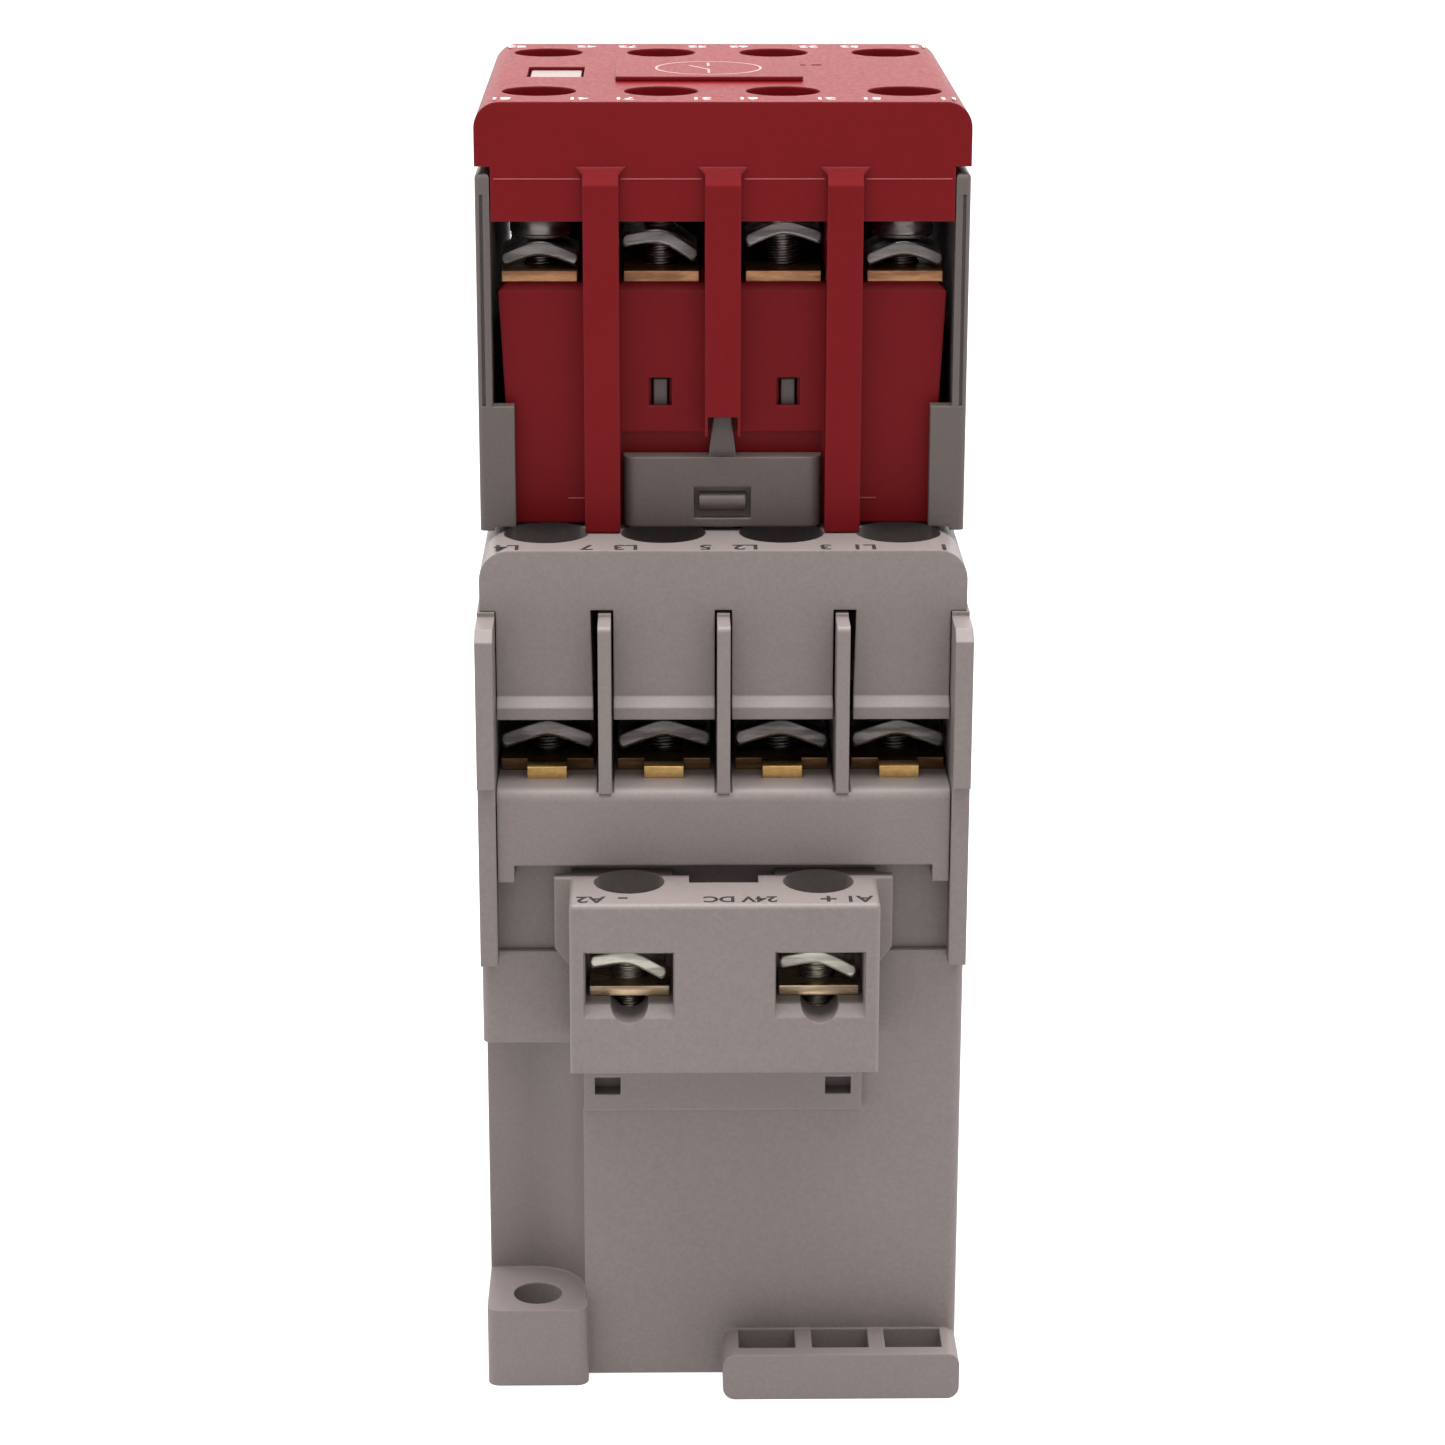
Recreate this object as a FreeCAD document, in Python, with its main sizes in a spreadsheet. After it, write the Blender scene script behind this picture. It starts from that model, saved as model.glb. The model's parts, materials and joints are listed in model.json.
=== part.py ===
"""A four-pole DIN-rail contactor with a four-pole auxiliary contact deck clipped on its front.

Frame: the origin is at the middle of the back (mounting) face, +Z points out of the panel towards the
front of the device, +X to the right of somebody who looks at the line side, and +Y from the line side to
the load side.  The line side and the load side are the same moulding turned half a turn about Z.
"""
import FreeCAD, Part
import os
import re
import Sketcher
from FreeCAD import Placement, Rotation, Vector

# ---------------------------------------------------------------------------------------------------
# Driving dimensions, in millimetres, kept in the document's spreadsheet
# ---------------------------------------------------------------------------------------------------
SIZES = {
    # case and base
    "case_x": 22.2,  # half width of the case
    "base_y": 31.2,  # line and load walls of the base
    "base_top": 43.0,
    "base_floor": 9.0,
    "cavity_x": 20.0,
    "cavity_y": 22.0,
    "column_x": 13.0,  # inner edge of the screw recess above a foot
    "recess_y": 24.3,
    "recess_top": 34.0,
    "recess_round": 5.0,
    # screw feet
    "foot_x": 12.7,
    "foot_y": 33.7,
    "foot_top": 7.85,
    "foot_round": 1.1,
    "hole_x": 17.5,  # 35 mm x 60 mm mounting pattern
    "hole_y": 30.0,
    "hole_radius": 2.3,
    # toothed flange beside the foot
    "flange_y": 36.7,
    "flange_top": 4.6,
    "flange_round": 1.2,
    "flange_pocket": 5.35,
    "flange_pitch": 6.9,
    "flange_floor": 1.2,
    # guide panel for the coil block
    "panel_x": 12.9,
    "panel_y": 32.0,
    "panel_low": 27.5,
    # 35 mm rail channel and its latch
    "rail_low": 15.9,
    "rail_high": 17.7,
    "rail_depth": 6.8,
    "rail_hook": 17.8,
    "rail_lip": 5.6,
    "latch_low": 1.2,
    "latch_high": 11.4,
    "latch_nose": 16.1,
    "latch_end": 36.5,
    "latch_under": 1.0,
    "latch_over": 5.4,
    "latch_gap": 0.2,
    "latch_mid": 6.3,
    "latch_spread": 2.8,  # from the middle of the foot to each spring
    "latch_spring": 0.95,
    "latch_spring_z": 3.2,
    "latch_window": 20.0,
    "latch_post": 26.2,  # fixed end of the springs
    "latch_window_end": 28.0,
    # magnet and coil
    "core_x": 8.0,
    "core_y": 20.0,
    "leg_in": 14.5,
    "leg_mid": 5.5,
    "core_seat": 10.5,
    "core_yoke": 17.0,
    "core_face": 28.0,
    "air_gap": 3.6,
    "arm_yoke": 40.0,
    "arm_top": 46.0,
    "bobbin_x": 17.0,
    "bobbin_y": 14.0,
    "bobbin_low": 17.2,
    "bobbin_top": 36.2,
    "bobbin_flange": 1.2,
    "winding_x": 14.6,
    "winding_y": 13.0,
    "pin_z": 43.2,
    "pin_radius": 1.0,
    "return_x": 14.2,
    "return_radius": 2.6,
    # housing with the main contacts
    "ring_y": 30.5,
    "ring_top": 52.0,
    "skin_in": 20.6,
    "skin_y": 33.5,
    "cheek_low": 59.7,
    "cheek_y": 34.5,
    "cheek_top": 74.4,
    "tray_x": 20.5,
    "tray_y": 33.0,
    "tray_top": 59.2,
    "fin_half": 0.58,
    "fin_gap": 0.2,
    "fin_gap_wide": 0.7,  # outer side of the outer slots, at the top
    "fin_seat": 0.4,  # depth of the tray's slots
    "fin_x": 10.7,
    "plate_top": 60.3,
    "pole_in": 5.4,  # inner and outer main poles
    "pole_out": 16.05,
    "screw_y": 22.5,
    "tab_half": 1.8,
    "strip_half": 2.4,
    "tip_half": 1.9,
    "tip_in": 6.0,
    "tip_out": 9.6,
    "tip_high": 0.9,
    "bridge_half": 2.3,
    "bridge_y": 10.2,
    "bridge_low": 65.7,
    "bridge_thick": 1.2,
    "bridge_window": 72.6,
    "contact_spring": 2.3,
    "carrier_foot_x": 17.8,
    "carrier_foot_y": 6.0,
    "boss_x": 4.5,
    "boss_y": 2.6,
    "beam_y": 3.4,
    "beam_x": 19.3,
    "beam_top": 76.0,
    # front cover
    "cover_x": 21.95,
    "cover_y": 29.25,
    "cover_step": 74.9,
    "cover_low": 65.0,
    "cover_top": 80.5,
    "cover_round": 2.7,
    "cover_lip": 1.0,
    "well_radius": 3.9,
    "well_wall": 0.5,
    "hook_y": 19.9,  # where the deck hooks into the cover
    "hook_half": 1.1,
    # coil terminal block
    "coil_x": 13.9,
    "coil_y": 40.5,
    "coil_low": 34.6,
    "coil_top": 50.9,
    "coil_pole": 8.57,
    "coil_screw": 34.3,
    "coil_well": 3.2,
    "coil_window": 3.95,
    "coil_sill": 41.07,
    "coil_head": 45.97,
    # auxiliary deck
    "deck_x": 22.1,
    "deck_y": 22.0,
    "deck_low": 80.55,
    "deck_floor": 82.2,
    "deck_in": 20.8,
    "deck_skin_top": 113.2,
    "deck_step": 92.1,
    "body_y": 20.3,
    "apron": 1.4,
    "body_x_low": 19.2,
    "body_x_top": 20.2,
    "body_top": 103.0,
    "cap_low": 108.9,
    "cap_step": 113.8,
    "cap_top": 119.5,
    "cap_round": 2.3,
    "cap_x": 20.7,
    "rib_y": 23.0,
    "rib_half": 1.6,
    "shoulder": 1.6,
    "ear": 0.7,
    "rib_x": 10.9,
    "deck_pole_in": 5.5,
    "deck_pole_out": 16.5,
    "deck_screw": 14.6,
    "deck_well": 3.37,
    "separator_y": 9.4,
    "flag_x": 15.35,
    "flag_half": 2.35,
    "flag_top": 119.2,
    "flag_front": 4.1,
    "flag_back": 2.9,
    "snap_left": 5.62,
    "snap_right": 5.98,
    "snap_half": 0.6,
    "snap_in": 17.9,
    "snap_out": 19.4,
    "snap_top": 94.1,
    "aux_plate_top": 104.0,
    "aux_pad_half": 3.4,
    "aux_pad_in": 10.5,
    "aux_pad_out": 19.4,
    "aux_strip_half": 1.9,
    "aux_tip": 0.8,
    "aux_tip_half": 1.2,
    "aux_tip_in": 6.2,
    "aux_tip_out": 8.4,
    "aux_bridge_half": 1.5,
    "aux_bridge_y": 8.8,
    "aux_bridge_low": 100.7,
    "aux_bridge_thick": 0.7,
    "aux_spring": 1.5,
    "chamber_half": 2.6,
    "chamber_out": 10.3,
    "chamber_low": 94.0,
    "carriage_x": 18.6,
    "carriage_y": 2.6,
    "carriage_low": 90.5,
    "carriage_top": 106.5,
    "carriage_window": 95.8,
    "carriage_window_top": 101.5,
    "carriage_travel": 4.2,  # room under the carriage
    "release_x": 9.0,
    "release_low": 80.9,
    "release_top": 87.4,
    "release_travel": 2.0,
    "release_bar": 83.15,
    "release_slot": 1.45,
    "tongue_half": 1.3,
    "tongue_tip": 0.8,
    "tongue_top": 91.0,
    "tongue_y": 20.9,
    "release_spring": 0.9,
    "release_spring_x": 3.0,
    "release_spring_y": 18.4,
    "release_spring_top": 89.5,
    "release_lug": 83.6,
    # terminal screws and their captive clamps
    "screw_shank": 1.75,
    "screw_head": 3.3,
    "clamp_wide": 8.5,
    "clamp_deep": 9.0,
    "clamp_thick": 1.5,
    "clamp_rise": 1.35,
    "aux_shank": 1.5,
    "aux_head": 2.8,
    "aux_wide": 7.0,
    "aux_deep": 7.0,
    "aux_thick": 1.25,
    "aux_rise": 1.05,
    "coil_clamp_back": 1.5,  # room behind a coil screw
}

doc = FreeCAD.newDocument("contactor")
sheet = doc.addObject("Spreadsheet::Sheet", "Sizes")
for row, (alias, value) in enumerate(SIZES.items(), start=1):
    sheet.set(f"A{row}", alias)
    sheet.set(f"B{row}", str(value))
    sheet.setAlias(f"B{row}", alias)
doc.recompute()

NODES = {}


# ---------------------------------------------------------------------------------------------------
# Helpers: every place and size is a formula in the sheet's names
# ---------------------------------------------------------------------------------------------------
def expression(formula):
    """A formula such as 'case_x - rail_lip' as a FreeCAD expression on the sheet."""
    return re.sub(r"[A-Za-z]\w*", lambda word: "Sizes." + word.group(0), str(formula))


def number(formula):
    """The present value of a formula."""
    return float(sheet.evalExpression(str(formula)))


def both(half):
    """A span from minus half to plus half."""
    return f"-({half})", half


def about(middle, half):
    """A span of half a width each side of a middle."""
    return f"({middle}) - ({half})", f"({middle}) + ({half})"


def turned(side, low, high):
    """A span, or its mirror through the origin where side is -1."""
    if side > 0:
        return low, high
    return f"-({high})", f"-({low})"


def signed(side, value):
    """A coordinate, or its opposite where side is -1."""
    return value if side > 0 else f"-({value})"


def block(name, x, y, z):
    """A box between two planes along each axis."""
    solid = doc.addObject("Part::Box", name)
    for length, place, (low, high) in zip(("Length", "Width", "Height"), "xyz", (x, y, z)):
        solid.setExpression(length, expression(f"({high}) - ({low})"))
        solid.setExpression("Placement.Base." + place, expression(low))
    return solid


def rod(name, radius, x, y, z):
    """A cylinder along the one axis that is given as a span."""
    solid = doc.addObject("Part::Cylinder", name)
    solid.setExpression("Radius", expression(radius))
    axes = {"x": Vector(1, 0, 0), "y": Vector(0, 1, 0), "z": Vector(0, 0, 1)}
    for place, given in zip("xyz", (x, y, z)):
        if isinstance(given, tuple):
            solid.setExpression("Height", expression(f"({given[1]}) - ({given[0]})"))
            solid.Placement = Placement(Vector(), Rotation(Vector(0, 0, 1), axes[place]))
    for place, given in zip("xyz", (x, y, z)):
        start = given[0] if isinstance(given, tuple) else given
        solid.setExpression("Placement.Base." + place, expression(start))
    return solid


def prism(name, plane, outline, span):
    """A PartDesign pad of a closed outline; each corner is held by two dimensions bound to the sheet."""
    body = doc.addObject("PartDesign::Body", name)
    sketch = body.newObject("Sketcher::SketchObject", name + "_outline")
    origin = [part for part in body.Origin.OriginFeatures if part.Role == plane + "_Plane"][0]
    sketch.AttachmentSupport = (origin, "")
    sketch.MapMode = "FlatFace"
    corners = [Vector(number(u), number(v), 0) for u, v in outline]
    count = len(corners)
    for index in range(count):
        sketch.addGeometry(Part.LineSegment(corners[index], corners[(index + 1) % count]), False)
    for index in range(count):
        sketch.addConstraint(Sketcher.Constraint("Coincident", index, 2, (index + 1) % count, 1))
    for index, corner in enumerate(outline):
        for kind, formula in zip(("DistanceX", "DistanceY"), corner):
            value = number(formula)
            ends = (-1, 1, index, 1) if value >= 0 else (index, 1, -1, 1)
            held = sketch.addConstraint(Sketcher.Constraint(kind, *ends, abs(value)))
            bound = formula if value >= 0 else f"-({formula})"
            sketch.setExpression(f"Constraints[{held}]", expression(bound))
    low, high = span
    # The XZ plane faces -Y, so its pad starts at the far end of the span.
    start = f"-({high})" if plane == "XZ" else low
    sketch.setExpression("AttachmentOffset.Base.z", expression(start))
    pad = body.newObject("PartDesign::Pad", name + "_pad")
    pad.Profile = sketch
    pad.setExpression("Length", expression(f"({high}) - ({low})"))
    body.Tip = pad
    return body


def fuse(name, *pieces):
    """Several touching solids as one."""
    joined = doc.addObject("Part::MultiFuse", name)
    joined.Shapes = list(pieces)
    joined.Refine = True
    return joined


def cut(name, base, *tools):
    """A solid less its cutters."""
    tool = tools[0]
    if len(tools) > 1:
        tool = doc.addObject("Part::Compound", name + "_cutters")
        tool.Links = list(tools)
    less = doc.addObject("Part::Cut", name)
    less.Base = base
    less.Tool = tool
    return less


def group(name, *pieces):
    """Separate solids that are kept in one node."""
    together = doc.addObject("Part::Compound", name)
    together.Links = list(pieces)
    return together


def rounded(name, base, radius, *picks):
    """Fillets; 'y:+z-x' picks the straight edges along Y at the top and at the low X side."""
    doc.recompute()
    limits = base.Shape.BoundBox
    bounds = {
        "+x": limits.XMax, "-x": limits.XMin,
        "+y": limits.YMax, "-y": limits.YMin,
        "+z": limits.ZMax, "-z": limits.ZMin,
    }
    size = number(radius)
    chosen = []
    for index, edge in enumerate(base.Shape.Edges, start=1):
        first, last = edge.Vertexes[0].Point, edge.Vertexes[-1].Point
        run = last - first
        for pick in picks:
            along, _, places = pick.partition(":")
            others = [axis for axis in "xyz" if axis != along]
            straight = all(abs(getattr(run, axis)) < 1e-6 for axis in others) and run.Length > 1e-6
            wanted = re.findall(r"[+-][xyz]", places)
            if straight and all(abs(getattr(first, at[1]) - bounds[at]) < 1e-6 for at in wanted):
                chosen.append((index, size, size))
                break
    smooth = doc.addObject("Part::Fillet", name)
    smooth.Base = base
    smooth.Edges = chosen
    return smooth


def node(name, piece):
    """Name a finished sub-part; the name is also its file's."""
    piece.Label = name
    NODES[name] = piece
    return piece


MAIN_POLES = ("-pole_out", "-pole_in", "pole_in", "pole_out")
DECK_POLES = ("-deck_pole_out", "-deck_pole_in", "deck_pole_in", "deck_pole_out")
SIDES = {"line": -1, "load": 1}
FINS = ("-fin_x", "0", "fin_x")
RIBS = ("-rib_x", "0", "rib_x")
SNAP_ARMS = ("-snap_left", "snap_right")
LATCH_SPRINGS = ("latch_mid - latch_spread", "latch_mid + latch_spread")


# ---------------------------------------------------------------------------------------------------
# Base: case, rail channel, feet, latch
# ---------------------------------------------------------------------------------------------------
def base_housing():
    """The back shell: a deep box for the magnet over the rail channel, with a foot and a flange each side."""
    shell = rounded("base_shell", block("base_box", both("case_x"), both("base_y"), ("0", "base_top")),
                    "0.8", "z")
    solids = [shell]
    cutters = [
        block("base_cavity", both("cavity_x"), both("cavity_y"), ("base_floor", "base_top + 1")),
        block("rail_channel", both("case_x + 1"), ("-rail_low", "rail_high"), ("-1", "rail_depth")),
        block("rail_groove", both("case_x + 1"), ("-rail_hook", "-rail_low + 0.1"),
              ("rail_lip", "rail_depth")),
        block("latch_slot", ("latch_low - latch_gap", "latch_high + latch_gap"), ("rail_low", "base_y + 1"),
              ("latch_under - latch_gap", "latch_over + 0.1")),
        block("latch_mouth", ("latch_low + 0.6", "latch_high - 0.6"), ("rail_low", "base_y + 1"),
              ("-1", "latch_under")),
    ]
    for name, side in SIDES.items():
        # near is +1 on the line side, which is drawn as it is, and -1 for the turned copy
        near = -side
        toward, away = ("-", "+") if near > 0 else ("+", "-")
        recess = block(
            f"{name}_recess_box",
            turned(near, "-case_x - 1", "-column_x"),
            turned(near, "-base_y - 1", "-recess_y"),
            ("foot_top", "recess_top"),
        )
        cutters.append(rounded(f"{name}_recess", recess, "recess_round", f"z:{away}x{away}y"))
        foot = block(
            f"{name}_foot_box",
            turned(near, "-case_x", "-foot_x"),
            turned(near, "-foot_y", "-recess_y"),
            ("0", "foot_top"),
        )
        solids.append(rounded(f"{name}_foot", foot, "foot_round", f"z:{toward}y"))
        cutters.append(rod(f"{name}_foot_hole", "hole_radius", signed(near, "-hole_x"),
                           signed(near, "-hole_y"),
                           ("-1", "foot_top + 1")))
        flange = block(
            f"{name}_flange_box",
            turned(near, "0", "case_x"),
            turned(near, "-flange_y", "-base_y + 1"),
            ("0", "flange_top"),
        )
        solids.append(rounded(f"{name}_flange", flange, "flange_round", "y"))
        for index in range(3):
            start = f"1.5 + {index} * flange_pitch"
            cutters.append(block(
                f"{name}_flange_pocket_{index}",
                turned(near, start, f"{start} + flange_pocket"),
                turned(near, "-flange_y + 1.5", "-base_y - 0.1"),
                ("flange_floor", "flange_top + 1"),
            ))
        solids.append(block(f"{name}_panel", both("panel_x"), turned(near, "-panel_y", "-base_y + 1"),
                            ("panel_low", "base_top")))
        for hole_side in (-1, 1):
            cutters.append(block(
                f"{name}_panel_hole_{hole_side + 1}",
                about(signed(hole_side, "panel_x - 2.2"), "1.2"),
                turned(near, "-panel_y - 1", "-base_y + 1.2"),
                ("panel_low + 1.6", "panel_low + 3.3"),
            ))
        cutters.append(block(
            f"{name}_side_pocket",
            turned(near, "-column_x + 2.2", "cavity_x"),
            turned(near, "-base_y + 2.2", "-cavity_y + 0.1"),
            ("base_floor", "base_top + 1"),
        ))
    # ribbed underside: pockets that leave the walls about 1.5 mm thick
    for index, (low, high) in enumerate((("-10.6", "-1"), ("1", "9.6"), ("11.2", "20.4"))):
        cutters.append(block(f"line_core_out_{index}", (low, high), ("-base_y + 1.8", "-rail_hook - 1.6"),
                             ("-1", "base_floor - 1.6")))
    for index, (low, high) in enumerate((("-20.4", "-11.2"), ("-9.6", "-1"))):
        cutters.append(block(f"load_core_out_{index}", (low, high), ("rail_high + 1.7", "base_y - 1.8"),
                             ("-1", "base_floor - 1.6")))
    solid = cut("base_cut", fuse("base_joined", *solids), *cutters)
    posts = [
        block(f"latch_post_{index}", about(middle, "latch_spring"),
              ("latch_post", "latch_window_end - 0.2"),
              ("latch_under + 0.2", "latch_over + 0.6"))
        for index, middle in enumerate(LATCH_SPRINGS)
    ]
    node("base_housing", fuse("base_housing", solid, *posts))


def din_latch():
    """The sliding foot that grips the rail, and its two springs, which lie in windows of the foot."""
    plate = prism(
        "latch_plate", "YZ",
        [("latch_nose", "latch_over - 1.8"), ("latch_nose + 1.8", "latch_under"),
         ("latch_end", "latch_under"),
         ("latch_end", "latch_over - 1.0"), ("latch_end - 0.9", "latch_over"),
         ("latch_nose", "latch_over")],
        ("latch_low", "latch_high"),
    )
    holes = [
        block(f"latch_window_{index}", about(middle, "latch_spring + 0.15"),
              ("latch_window", "latch_window_end"),
              ("0", "latch_over + 1"))
        for index, middle in enumerate(LATCH_SPRINGS)
    ]
    holes.append(block("latch_pull", ("latch_low + 2.1", "latch_high - 2.1"),
                       ("latch_end - 3.5", "latch_end - 1.9"),
                       ("0", "latch_over + 1")))
    node("din_latch", cut("din_latch", plate, *holes))
    springs = [
        rod(f"latch_spring_{index}", "latch_spring", middle, ("latch_window + 0.05", "latch_post - 0.05"),
            "latch_spring_z")
        for index, middle in enumerate(LATCH_SPRINGS)
    ]
    node("din_latch_springs", group("din_latch_springs", *springs))


# ---------------------------------------------------------------------------------------------------
# Magnet: core, coil, armature, return springs
# ---------------------------------------------------------------------------------------------------
def e_shape(name, back, shoulder, face):
    """A laminated E core across X, with its back at one height and its three legs ending at another."""
    outline = [
        ("-core_y", back), ("core_y", back), ("core_y", face), ("leg_in", face), ("leg_in", shoulder),
        ("leg_mid", shoulder), ("leg_mid", face), ("-leg_mid", face), ("-leg_mid", shoulder),
        ("-leg_in", shoulder), ("-leg_in", face), ("-core_y", face),
    ]
    return prism(name, "YZ", outline, both("core_x"))


def magnet():
    """The fixed core on its rubber pads, the coil round its middle leg and the armature above it."""
    pads = [
        block(f"core_pad_{name}", both("core_x - 0.5"), turned(side, "leg_in - 1.5", "core_y - 1"),
              ("base_floor", "core_seat"))
        for name, side in SIDES.items()
    ]
    node("core_pads", group("core_pads", *pads))
    node("fixed_core", e_shape("fixed_core", "core_seat", "core_yoke", "core_face"))
    tube = block("bobbin_tube", both("core_x + 1.6"), both("leg_mid + 1.6"), ("bobbin_low", "bobbin_top"))
    flanges = [
        rounded(f"bobbin_flange_{index}", block(f"bobbin_plate_{index}", both("bobbin_x"), both("bobbin_y"),
                                                span),
                "1.2", "z")
        for index, span in enumerate((
            ("bobbin_low", "bobbin_low + bobbin_flange"),
            ("bobbin_top - bobbin_flange", "bobbin_top"),
        ))
    ]
    bore = block("bobbin_bore", both("core_x + 0.3"), both("leg_mid + 0.3"),
                 ("bobbin_low - 1", "bobbin_top + 1"))
    node("coil_bobbin", cut("coil_bobbin", fuse("bobbin_joined", tube, *flanges), bore))
    wound = block("winding_block", both("winding_x"), both("winding_y"),
                  ("bobbin_low + bobbin_flange + 0.05", "bobbin_top - bobbin_flange - 0.05"))
    inside = block("winding_inside", both("core_x + 1.65"), both("leg_mid + 1.65"),
                   ("bobbin_low", "bobbin_top"))
    node("coil_winding", cut("coil_winding", rounded("winding_round", wound, "3.5", "z"), inside))
    moving = e_shape("armature_stack", "arm_top", "arm_yoke", "core_face + air_gap")
    pin_hole = rod("armature_hole", "pin_radius + 0.03", both("core_x + 1"), "0", "pin_z")
    node("armature", cut("armature", moving, pin_hole))
    node("armature_pin", rod("armature_pin", "pin_radius", both("core_x + 2.2"), "0", "pin_z"))
    springs = [
        rod(f"return_spring_{index}", "return_radius", middle, "0", ("bobbin_top + 0.05", "arm_top"))
        for index, middle in enumerate(("-return_x", "return_x"))
    ]
    node("return_springs", group("return_springs", *springs))


# ---------------------------------------------------------------------------------------------------
# Contact housing, tray with fins, carrier, bridges, fixed contacts
# ---------------------------------------------------------------------------------------------------
def contact_housing():
    """A collar over the magnet with a tall cheek at each end."""
    collar = block("collar_box", both("case_x"), both("ring_y"), ("base_top", "ring_top"))
    cutters = [block("collar_window", both("cavity_x"), both("cavity_y"), ("base_top - 1", "ring_top + 1"))]
    for name, side in SIDES.items():
        cutters.append(block(f"collar_pocket_{name}", both("panel_x + 1.2"),
                             turned(side, "cavity_y + 1.4", "ring_y - 1.5"),
                             ("base_top - 1", "ring_top + 1")))
    right = [
        ("base_y + 0.15", "base_top"), ("base_y + 0.15", "base_top - 0.6"), ("skin_y", "base_top - 0.6"),
        ("skin_y", "cheek_low"), ("cheek_y", "cheek_low"), ("cheek_y", "cheek_top - 1"),
        ("cheek_y - 1", "cheek_top"), ("cover_y + 0.15", "cheek_top"),
        ("cover_y + 0.15", "cover_step - 0.05"),
    ]
    left = [(f"-({y})", z) for y, z in reversed(right)]
    cheeks = [
        prism("cheek_right", "YZ", right + left, ("skin_in", "case_x")),
        prism("cheek_left", "YZ", right + left, ("-case_x", "-skin_in")),
    ]
    node("contact_housing", fuse("contact_housing", cut("collar_cut", collar, *cutters), *cheeks))


def contact_tray():
    """The floor under the main terminals: a band along each long side, slotted for the barriers."""
    band = rounded("tray_band", block("tray_box", both("tray_x"), both("tray_y"), ("ring_top", "tray_top")),
                   "1.1", "x:+z")
    solids = [band]
    cutters = [block("carrier_slot", both("beam_x + 0.3"), both("beam_y + 0.6"),
                     ("ring_top - 1", "tray_top + 1"))]
    for name, side in SIDES.items():
        for end in (-1, 1):
            solids.append(block(f"{name}_tray_lug_{end + 1}", turned(end, "tray_x - 1.5", "tray_x"),
                                turned(side, "ring_y + 0.1", "tray_y"), ("ring_top - 1.6", "ring_top + 1")))
        for index, middle in enumerate(FINS):
            cutters.append(block(f"{name}_tray_slot_{index}", about(middle, "fin_half + fin_gap"),
                                 turned(side, "beam_y + 0.5", "tray_y + 1"),
                                 ("tray_top - fin_seat", "tray_top + 1")))
        for index, middle in enumerate(MAIN_POLES):
            cutters.append(block(f"{name}_tray_pocket_{index}", about(middle, "4.2"),
                                 turned(side, "beam_y + 2.2", "tray_y - 1.6"),
                                 ("ring_top - 1", "tray_top - 2")))
            cutters.append(rod(f"{name}_tray_hole_{index}", "screw_shank + 0.6", middle,
                               signed(side, "screw_y"),
                               ("ring_top", "tray_top + 1")))
    node("contact_tray", cut("contact_tray", fuse("tray_joined", *solids), *cutters))


def phase_barriers():
    """Six thin walls between the poles, standing in the tray; their outer edges show as fins."""
    barriers = []
    for name, side in SIDES.items():
        for index, middle in enumerate(FINS):
            fin = rounded(
                f"{name}_fin_{index}",
                block(f"{name}_fin_box_{index}", about(middle, "fin_half"),
                      turned(side, "cover_y + 0.2", "tray_y"), ("tray_top - fin_seat", "cheek_top")),
                "0.5", f"x:{'+' if side > 0 else '-'}y+z")
            wall = block(f"{name}_barrier_wall_{index}", about(middle, "fin_half"),
                         turned(side, "beam_y + 0.6", "cover_y + 0.25"),
                         ("tray_top - fin_seat", "cover_step - 0.2"))
            barriers.append(fuse(f"{name}_barrier_{index}", fin, wall))
    node("phase_barriers", group("phase_barriers", *barriers))


def contact_carrier():
    """The moulded cross bar that the armature pulls down, with a window for each contact bridge."""
    foot = block("carrier_foot", both("carrier_foot_x"), both("carrier_foot_y"),
                 ("arm_top + 0.05", "ring_top - 0.1"))
    beam = block("carrier_beam", both("beam_x"), both("beam_y"), ("ring_top - 0.2", "beam_top"))
    boss = block("carrier_boss", both("boss_x"), both("boss_y"), ("beam_top - 0.1", "cover_top - 0.4"))
    lugs = [
        block(f"carrier_lug_{side + 1}", turned(side, "core_x + 0.15", "core_x + 2.1"), both("3.2"),
              ("pin_z - 2", "arm_top + 0.2"))
        for side in (-1, 1)
    ]
    cutters = [
        block(f"bridge_window_{index}", about(middle, "bridge_half + 0.3"), both("beam_y + 1"),
              ("bridge_low - 0.15", "bridge_window"))
        for index, middle in enumerate(MAIN_POLES)
    ]
    cutters += [
        block(f"carrier_relief_{index}", about(middle, "bridge_half + 0.3"), both("beam_y + 1"),
              ("ring_top + 2", "bridge_low - 2.6"))
        for index, middle in enumerate(MAIN_POLES)
    ]
    cutters.append(rod("carrier_pin_hole", "pin_radius + 0.03", both("core_x + 3"), "0", "pin_z"))
    node("contact_carrier", cut("contact_carrier", fuse("carrier_joined", foot, beam, boss, *lugs),
                                *cutters))


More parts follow.
